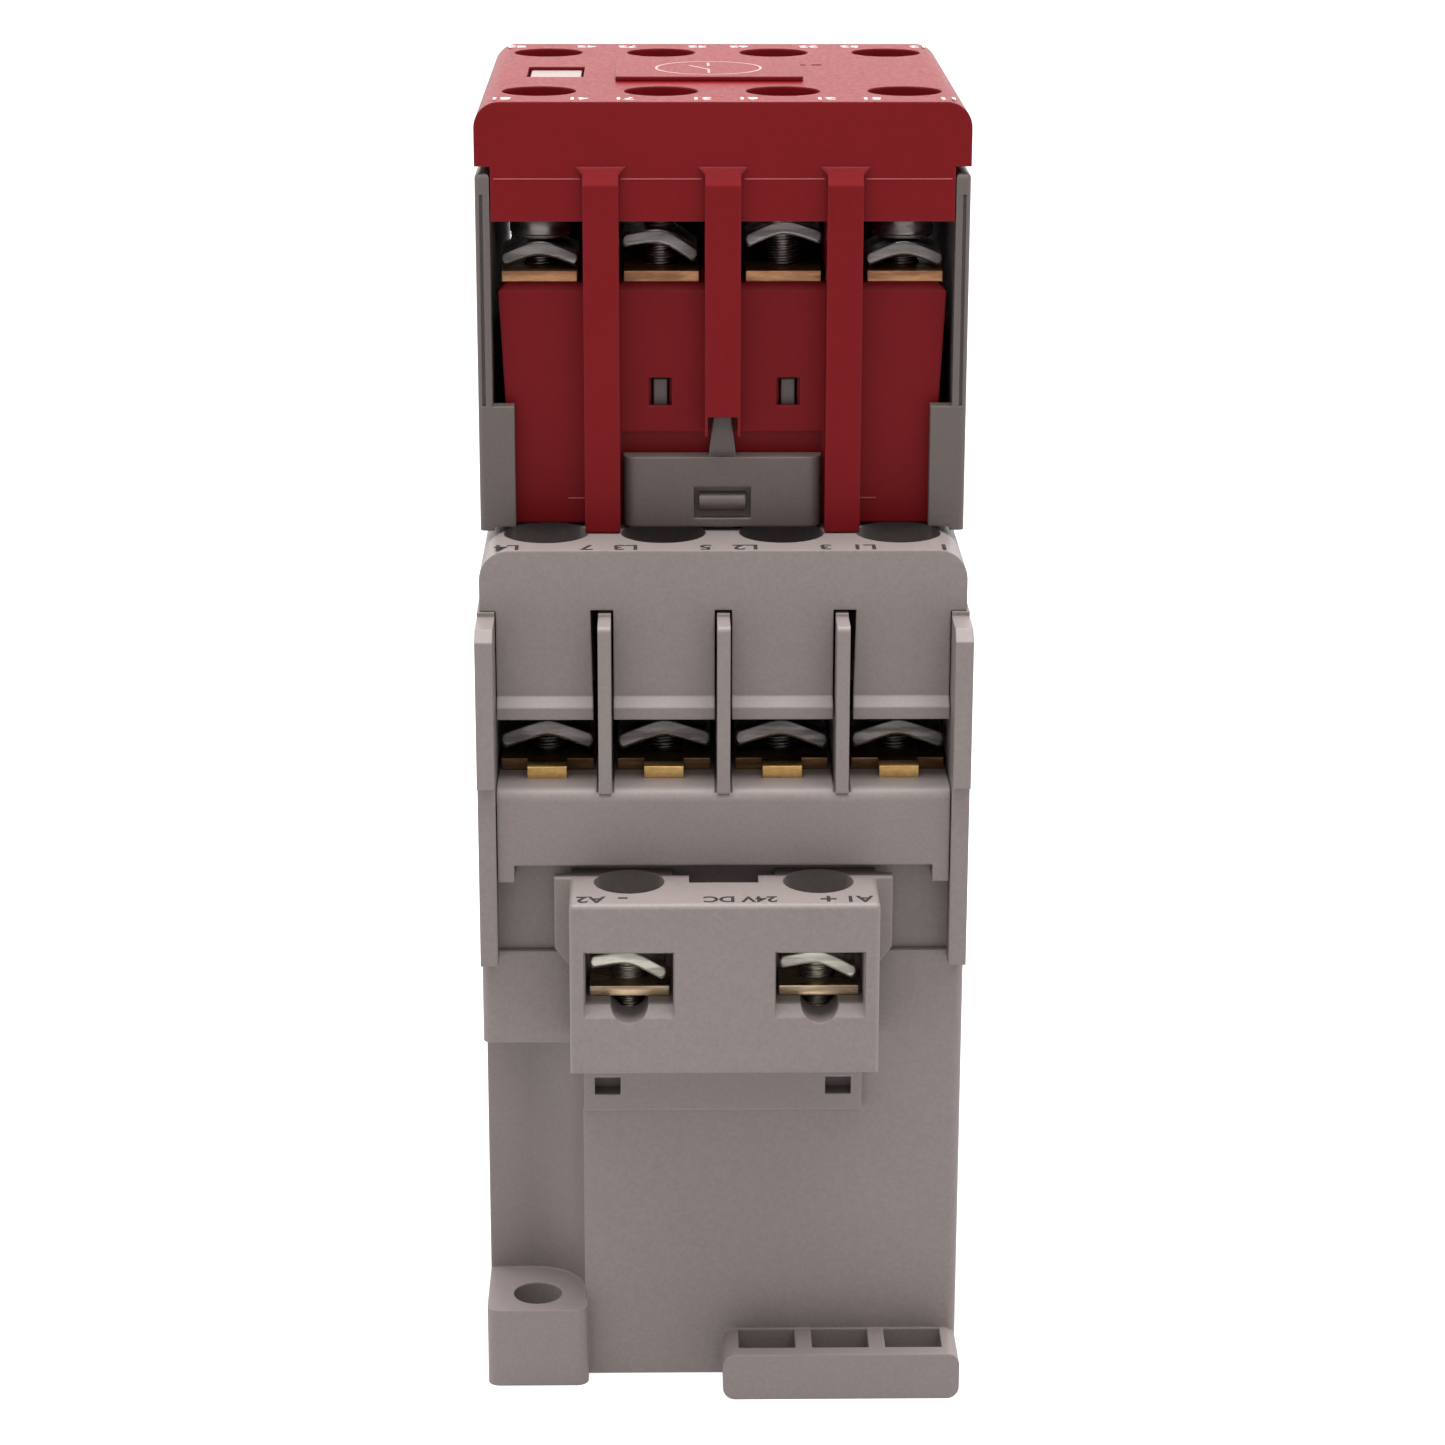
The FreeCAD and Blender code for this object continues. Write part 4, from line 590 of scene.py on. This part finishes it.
# %% Springs on the magnet, the bridges, the foot and the catch
RETURN_RADIUS = 2.6 * MM
RETURN_WIRE = 0.35 * MM
CONTACT_WIRE = {"main": 0.32 * MM, "aux": 0.22 * MM}
return_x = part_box("return_springs")[1].x - RETURN_RADIUS
for number, x in enumerate((-return_x, return_x), start=1):
    coil_spring(f"return_spring_{number}", "return_springs", "root", "z", RETURN_WIRE, 7, (x, 0, 0),
                RETURN_RADIUS, "low")
for number in range(1, 5):
    for kind, body, fixed in (("main", "carrier", "high"), ("aux", "deck_carriage", "low")):
        node = f"{kind}_contact_springs"
        coil_spring(f"{kind}_contact_spring_{number}", node, body, "z", CONTACT_WIRE[kind], 5,
                    (middle(f"{kind}_bridge_{number}")[0], 0, 0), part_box(node)[1].y,
                    fixed)
LATCH_RADIUS = 0.95 * MM
LATCH_WIRE = 0.16 * MM
RELEASE_WIRE = 0.15 * MM
latch_low, latch_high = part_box("din_latch_springs")
for number, x in enumerate((latch_low.x + LATCH_RADIUS, latch_high.x - LATCH_RADIUS), start=1):
    coil_spring(f"din_latch_spring_{number}", "din_latch_springs", "root", "y", LATCH_WIRE, 8,
                (x, 0, middle("din_latch_springs")[2]), LATCH_RADIUS, "high")
release_x, release_y = middle("deck_release_spring")[:2]
release_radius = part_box("deck_release_spring")[1].x - release_x
coil_spring("deck_release_coil", "deck_release_spring", "root", "z", RELEASE_WIRE, 8,
            (release_x, release_y, 0), release_radius, "high")

# %% [markdown]
# ## Winding
# Enamelled wire lies in level turns round the bobbin. Hundreds of separate loops would be heavy for a
# part that is mostly hidden, so the winding is one skin: a rounded rectangle in plan, carried up, and
# swelling by half a wire at each turn, which gives the ribbed look.

# %% Wound coil
def rounded_loop(half_x, half_y, radius, per_corner=10):
    """A rectangle with round corners, as points in plan: four quarter circles joined by straight runs."""
    quarter = np.repeat(np.arange(4), per_corner)
    angle = np.tile(np.linspace(0.0, np.pi / 2, per_corner), 4) + quarter * np.pi / 2
    sign_x, sign_y = np.array([1, -1, -1, 1])[quarter], np.array([1, 1, -1, -1])[quarter]
    return np.stack([sign_x * (half_x - radius) + radius * np.cos(angle),
                     sign_y * (half_y - radius) + radius * np.sin(angle)], axis=-1)


COIL_WIRE = 0.42 * MM
COIL_THICK_X = 4.95 * MM  # from the outside of the winding to the bobbin's core
COIL_THICK_Y = 5.85 * MM
COIL_ROUND = 3.5 * MM
BOBBIN_ROUND = 0.4 * MM


def winding(wire, per_turn=6):
    """Up the outside, which swells by wire / 2 times the sine of the turns less 1, then down inside."""
    low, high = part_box("coil_winding")
    turns = int((high.z - low.z) / wire)
    t = np.linspace(0.0, turns, turns * per_turn + 1)
    swell = 0.5 * wire * (np.abs(np.sin(np.pi * t)) - 1)
    loop = rounded_loop(high.x, high.y, COIL_ROUND)
    outwards = loop / np.linalg.norm(loop, axis=1, keepdims=True)
    outer = np.empty((len(t), len(loop), 3))
    outer[..., :2] = loop[None] + swell[:, None, None] * outwards[None]
    outer[..., 2] = (low.z + (high.z - low.z) * t / turns)[:, None]
    inner = np.empty((2, len(loop), 3))
    inner[..., :2] = rounded_loop(high.x - COIL_THICK_X, high.y - COIL_THICK_Y, BOBBIN_ROUND)[None]
    inner[:, :, 2] = np.array([high.z, low.z])[:, None]
    return np.concatenate([outer, inner])


turns_skin = skin(winding(COIL_WIRE), ring=True)
wound_coil = piece("winding_turns", [turns_skin], copper, "root", ["coil_winding"])
print("winding faces", len(wound_coil.data.polygons))

# %% [markdown]
# ## Captive clamps
# Each terminal is a screw with a captive clamp: a pressed plate bent to a shallow V that grips a wire on
# each side of the screw. It could be a bent plane with thickness; instead its whole outline in XZ is a
# function of one number round the edge, and it is carried along Y, drawn in at the front and back so that
# both rims are round. Pressed steel doesn't fold sharply, so the ridge is a hyperbola: nearly straight
# arms and a soft bend.

# %% Clamp
RIM = 0.16 * MM  # radius of the rubbed rims
RIBS = 6  # gripping ribs along the underside
RIB_SHARE = 0.14  # a rib's height as a share of the thickness
BARE_MIDDLE = 0.2  # no ribs this close to the screw, as a share of the length
TIP_SHARE = 0.3  # how far the round tips reach out, as a share of the thickness
ACROSS = 31  # points from tip to tip
ALONG = 41  # rings between the two rims


def clamp(half, rise, thick, bend, front, back, lean):
    """Outline height is rise * (bend - sqrt(x^2 + bend^2)) / fall, plus or minus half a thickness.

    The inset is a rim's radius at each end and fades over a quarter circle; lean turns it all about Y."""
    columns = np.linspace(-1.0, 1.0, ACROSS)
    tip = np.linspace(np.pi / 2, -np.pi / 2, 9)[1:-1]
    u = np.concatenate([columns, np.ones(len(tip)), columns[::-1], -np.ones(len(tip))])
    cap = np.concatenate([0 * columns, np.cos(tip), 0 * columns, -np.cos(tip)])
    side = np.concatenate([0 * columns + 1, np.sin(tip), 0 * columns - 1, -np.sin(tip)])
    quarter = np.linspace(0.0, np.pi / 2, 5)
    start = front + RIM * (1 - np.cos(quarter))
    y = np.concatenate([start, np.linspace(start[-1], back + front - start[-1], ALONG)[1:-1],
                        (back + front - start)[::-1]])
    drawn_in = RIM * (1 - np.sin(quarter))
    inset = np.concatenate([drawn_in, np.zeros(ALONG - 2), drawn_in[::-1]])
    tip_radius = TIP_SHARE * thick
    at = u[None] * (half - tip_radius - inset[:, None])
    fall = math.hypot(half, bend) - bend
    ridge = rise * (bend - np.sqrt(at**2 + bend**2)) / fall
    along = np.linspace(0.0, 1.0, len(y))
    ribbed = np.abs(along - 0.5) > BARE_MIDDLE
    grip = RIB_SHARE * thick * np.maximum(0.0, np.sin(2 * np.pi * RIBS * along)) * ribbed
    x = at + cap[None] * tip_radius
    z = ridge + thick / 2 + side[None] * (thick / 2 - inset[:, None]) + grip[:, None] * (side < 0)[None]
    turn = math.radians(lean)
    return np.stack([x * math.cos(turn) + z * math.sin(turn), np.broadcast_to(y[:, None], x.shape),
                     z * math.cos(turn) - x * math.sin(turn)], axis=-1)


print("a clamp has", clamp(4 * MM, MM, MM, MM, 0.0, 9 * MM, 0).shape[:2], "rings and points to a ring")

# %% [markdown]
# ## Terminal screws
# A screw is a surface of revolution whose radius depends on height. The thread adds a ridge that climbs
# one pitch each turn, so there the radius depends on height and angle together. The head is a low cheese
# head with a slot and a cross, sunk into its top wherever x or y is small. A thin washer sits under the
# head.

# %% Thread, head and washer
RINGS_A_PITCH = 8
POINT_LONG = 0.8  # the taper's length in pitches, and how much of the radius it takes
POINT_TAPER = 0.35
FLAT_SHARE = 0.9  # where the head's flat top ends, as a share of the radius; so are the next three
SLOT_SHARE = 0.16
SLOT_WALL = 0.05
CROSS_REACH = 0.62
SLOT_DEEP = 0.5  # as a share of the head's height


def revolved(radius, height, angle):
    """Rings: x and y are radius times cosine and sine of the angle; both arrays may vary along either way."""
    radius, height = np.broadcast_arrays(radius, height)
    return np.stack([radius * np.cos(angle), radius * np.sin(angle), height], axis=-1)


def thread(radius, depth, pitch, low, high):
    """Radius less depth times a triangle wave of height / pitch less angle / turn; the end tapers."""
    z = np.linspace(low, high, int((high - low) / pitch * RINGS_A_PITCH))[:, None]
    angle = np.linspace(0.0, 2 * np.pi, 28, endpoint=False)[None]
    phase = z / pitch - angle / (2 * np.pi)
    wave = np.abs(2 * (phase - np.floor(phase)) - 1)
    fade = np.clip(np.minimum(z - low, high - z) / pitch, 0.0, 1.0)
    point = np.clip(1 - (z - low) / (POINT_LONG * pitch), 0.0, 1.0)
    return revolved(radius - depth * wave * fade - POINT_TAPER * radius * point, z + 0 * angle, angle)


def head(radius, low, high):
    """Rings over the top, sunk where x or y is near zero, round a quarter circle, then to the underside."""
    angle = np.linspace(0.0, 2 * np.pi, 72, endpoint=False)[None]
    out = radius * np.linspace(0.02, FLAT_SHARE, 26)[:, None]
    x, y = out * np.cos(angle), out * np.sin(angle)
    slot = np.clip((SLOT_SHARE - np.abs(x) / radius) / SLOT_WALL + 0.5, 0.0, 1.0)
    cross = np.clip((SLOT_SHARE - np.abs(y) / radius) / SLOT_WALL + 0.5, 0.0, 1.0)
    sunk = np.maximum(slot, cross * (out < CROSS_REACH * radius))
    top = revolved(out + 0 * angle, high - SLOT_DEEP * (high - low) * sunk, angle)
    arc = np.linspace(0.0, np.pi / 2, 6)[1:, None]
    rim = (1 - FLAT_SHARE) * radius
    rim_radius = np.concatenate([radius - rim * (1 - np.sin(arc)), [[radius], [radius - rim / 2]]])
    rim_height = np.concatenate([high - rim * (1 - np.cos(arc)), [[low + 0.6 * rim], [low]]])
    return np.concatenate([top, revolved(rim_radius + 0 * angle, rim_height, angle)])


def washer(inner, outer, low, high):
    """A ring of rectangular section with its four corners slightly drawn in."""
    angle = np.linspace(0.0, 2 * np.pi, 48, endpoint=False)[:, None]
    soft = 0.25 * (high - low)
    radius = np.array([inner, inner, outer - soft, outer, outer, outer - soft])[None]
    height = np.array([high, low, low, low + soft, high - soft, high])[None]
    return revolved(radius + 0 * angle, height + 0 * angle, angle)


print("a head has", head(3 * MM, 0.0, 2 * MM).shape[:2], "rings and points to a ring")

# %% Fit each terminal to its node
MAIN = dict(half=4.25, rise=1.35, thick=1.5, bend=0.8, front=-4.5, back=4.5, shank=1.75, head=3.3, pitch=0.6)
AUX = dict(half=3.5, rise=1.15, thick=1.25, bend=1.5, front=-3.5, back=3.5, shank=1.5, head=2.8, pitch=0.5)
COIL = dict(AUX, rise=1.05, bend=1.0, back=1.5)
THREAD_DEEP = 0.28 * MM
HEAD_HIGH = 1.9  # in mm, as are the other heights and gaps
WASHER_HIGH = 0.25
WASHER_BORE = 1.02  # the washer's bore and rim, as shares of the shank's and the head's radius
WASHER_RIM = 0.97
SHANK_IN = 0.05  # how far the shank reaches into the washer
HAIR = 0.02  # keeps two faces from lying in one plane
GAP = 0.10  # between the washer and the clamp
LEAN_ROOM = 0.045  # extra gap for each degree of lean
LEAN = {"line_terminal_2": -2, "line_terminal_3": 2, "load_terminal_2": 2, "load_terminal_3": -2,
        "aux_line_terminal_2": 12, "aux_line_terminal_3": -3, "coil_terminal_1": 10, "coil_terminal_2": 9}


def terminal(node, kind, metal):
    """The head's top is the top of the node's box; the washer and the clamp hang just under the head."""
    low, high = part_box(node)
    lean = LEAN.get(node, 0)
    x = (low.x + high.x) / 2
    y = low.y - kind["front"] * MM
    under = high.z - HEAD_HIGH * MM
    crest = under - (GAP + LEAN_ROOM * abs(lean) + kind["thick"]) * MM
    plate = clamp(kind["half"] * MM, kind["rise"] * MM, kind["thick"] * MM, kind["bend"] * MM,
                  kind["front"] * MM, kind["back"] * MM, lean)
    shank = thread(kind["shank"] * MM, THREAD_DEEP, kind["pitch"] * MM, low.z, under + SHANK_IN * MM)
    ring = washer(WASHER_BORE * kind["shank"] * MM, WASHER_RIM * kind["head"] * MM, under,
                  under + WASHER_HIGH * MM)
    disc = head(kind["head"] * MM, under + (WASHER_HIGH + HAIR) * MM, high.z)
    skins = [skin(plate + [x, y, crest]), skin(shank + [x, y, 0.0]), skin(disc + [x, y, 0.0]),
             skin(ring + [x, y, 0.0], ring=True)]
    return piece(node + "_fitted", skins, metal, node, [node])


KINDS = {"coil": (COIL, zinc_pale), "aux": (AUX, zinc_deck), "line": (MAIN, zinc), "load": (MAIN, zinc)}
for node in sorted(frame["nodes"]):
    if "_terminal_" in node and node[-1].isdigit():
        terminal(node, *KINDS[node.split("_")[0]])

# %% [markdown]
# ## Lettering
# Terminal numbers are printed beside the wells, to be read by somebody at the load side, so from here
# they stand on their heads. A printed mark could be a mask in the material; as thin closed meshes they
# stay sharp and can be taken off again. Text is turned into a mesh first and then laid in its place.

# %% Printed marks
INK_HIGH = 0.03 * MM
INK_BOLD = 0.05 * MM  # how far each stroke is widened


def letters(text, size, place):
    """The mesh of a bold text, centred on a place, lying flat and upside down for the line side."""
    curve = bpy.data.curves.new("mark", "FONT")
    curve.body = text
    curve.size = size * MM
    curve.offset = INK_BOLD
    curve.align_x = "CENTER"
    curve.align_y = "CENTER"
    curve.extrude = INK_HIGH / 2
    source = bpy.data.objects.new("mark", curve)
    bpy.context.scene.collection.objects.link(source)
    bpy.context.view_layer.update()
    mesh = bpy.data.meshes.new_from_object(source.evaluated_get(bpy.context.evaluated_depsgraph_get()))
    bpy.data.objects.remove(source)
    bpy.data.curves.remove(curve)
    mesh.transform(Matrix.Translation(place) @ Matrix.Rotation(math.pi, 4, "Z"))
    return mesh


def marks(name, rows, ink):
    """Several marks as one piece: each row is a text, its size in mm and its place in mm."""
    work = bmesh.new()
    for text, size, place in rows:
        made = letters(text, size, Vector(place) * MM)
        work.from_mesh(made)
        bpy.data.meshes.remove(made)
    mesh = bpy.data.meshes.new(name)
    work.to_mesh(mesh)
    work.free()
    return place_piece(name, mesh, ink, "root")


print("ink", INK_HIGH / MM, "mm high")

# %% Marks on the cover, the cap and the coil terminals
cover_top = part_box("front_cover")[1].z / MM
cap_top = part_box("deck_cap")[1].z / MM
coil_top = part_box("coil_terminal_block")[1].z / MM
main_x = [middle(f"main_bridge_{number}")[0] / MM for number in (4, 3, 2, 1)]
aux_x = [middle(f"aux_bridge_{number}")[0] / MM for number in (4, 3, 2, 1)]
COVER_MARK = dict(size=2.4, letter=-3.4, figure=3.8, row=27.9)  # in mm, from a well's middle and from Y = 0
CAP_MARK = dict(size=1.9, right=3.6, left=-3.3, row=19.6)
cover_rows, cap_rows = [], []
for number, x in enumerate(main_x, start=1):
    for side, letter, figure in ((-1, "L", 2 * number - 1), (1, "T", 2 * number)):
        for text, shift in ((f"{letter}{number}", COVER_MARK["letter"]), (str(figure), COVER_MARK["figure"])):
            cover_rows.append((text, COVER_MARK["size"], (x + shift, side * COVER_MARK["row"], cover_top)))
for number, x in enumerate(aux_x, start=1):
    for y, last in ((-CAP_MARK["row"], 1), (CAP_MARK["row"], 2)):
        for first, shift in ((number, CAP_MARK["right"]), (number + 4, CAP_MARK["left"])):
            cap_rows.append((f"{first}{last}", CAP_MARK["size"], (x + shift, y, cap_top)))
# each row: a text, its size in mm and its place in mm
coil_rows = [("A2", 2.2, (-12.0, -39.0, coil_top)), ("-", 3.0, (-9.1, -38.9, coil_top)),
             ("24V DC", 2.0, (1.4, -39.0, coil_top)),
             ("+", 2.8, (9.3, -38.9, coil_top)), ("A1", 2.2, (12.0, -39.0, coil_top))]
marks("cover_marks", cover_rows, dark_ink)
marks("cap_marks", cap_rows, white_ink)
marks("coil_marks", coil_rows, dark_ink)
print("marks", len(cover_rows), len(cap_rows), len(coil_rows))

# %% [markdown]
# ## The ring on the deck's plate
# A plain printed ring with a contact symbol fills the raised plate. Each stroke is a flat ribbon carried
# along a path in plan: a circle for the ring, and straight runs for a switch that stands open.

# %% Ring and symbol
def ribbon(path, width, low, high, ring=False):
    """A flat bar along a path in plan: half a width to each side, square to the path, from low to high."""
    ahead = np.gradient(np.concatenate([path[-1:], path, path[:1]]), axis=0)[1:-1] if ring \
        else np.gradient(path, axis=0)
    ahead = ahead / np.linalg.norm(ahead, axis=1, keepdims=True)
    side = np.stack([-ahead[:, 1], ahead[:, 0]], axis=-1) * width / 2
    grid = np.empty((len(path), 4, 3))
    grid[:, :, :2] = np.stack([path - side, path + side, path + side, path - side], axis=1)
    grid[:, :, 2] = [low, low, high, high]
    return skin(grid, ring=ring)


RING_RADIUS = 4.9 * MM
RING_WIDTH = 0.22 * MM
STROKE_WIDTH = 0.24 * MM
PLATE_SHIFT = 0.6 * MM  # the ring stands a little behind the plate's middle
STROKES = (((0, -3.8), (0, -1.1)), ((0, 1.6), (0, 3.8)), ((0, -1.1), (-1.8, 1.9)))  # X and Y in mm
plate_low, plate_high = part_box("deck_cover_plate")
plate_middle = np.array([(plate_low.x + plate_high.x) / 2, (plate_low.y + plate_high.y) / 2 + PLATE_SHIFT])
ink_span = (plate_high.z - INK_HIGH / 2, plate_high.z + INK_HIGH / 2)
around = np.linspace(0.0, 2 * np.pi, 96, endpoint=False)
circle = plate_middle + RING_RADIUS * np.stack([np.cos(around), np.sin(around)], axis=-1)
symbol = [ribbon(circle, RING_WIDTH, *ink_span, ring=True)]
for start, end in STROKES:
    stroke = plate_middle + np.array([start, end]) * MM
    symbol.append(ribbon(stroke, STROKE_WIDTH, *ink_span))
symbol_piece = piece("deck_plate_symbol", symbol, pink_ink, "root")
print("symbol faces", len(symbol_piece.data.polygons))

# %% [markdown]
# ## Mould lines
# Where the two halves of a mould met, a hair-thin line stands on the surface, paler than the face around
# it. It is far too thin for the measured model, so each is a ribbon a tenth of a millimetre wide, stood
# upright on the face.

# %% Parting lines
LINE_WIDTH = 0.11 * MM
CAP_LINE = 112.7  # heights in mm
BODY_LINE = 83.2
CAP_RUNS = ((-20.4, -12.7), (-9.1, -1.9), (1.9, 9.1), (12.7, 20.4))  # between the fingers
BODY_RUNS = ((-14.1, -12.6), (12.6, 14.1))


def upright_line(start, end, face, proud=0.04):
    """A ribbon on the plane y = face from start to end in X and Z, standing proud towards -Y; all in mm."""
    points, quads = ribbon(np.array([start, end]) * MM, LINE_WIDTH, (face - proud) * MM, (face + proud) * MM)
    return points[:, [0, 2, 1]], quads


cap_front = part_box("deck_cap")[0].y / MM
body_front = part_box("deck_body")[0].y / MM
lines = [upright_line((low, CAP_LINE), (high, CAP_LINE), cap_front) for low, high in CAP_RUNS]
lines += [upright_line((low, BODY_LINE), (high, BODY_LINE), body_front) for low, high in BODY_RUNS]
piece("deck_mould_lines", lines, seam_red, "root")
print("mould lines", len(lines))
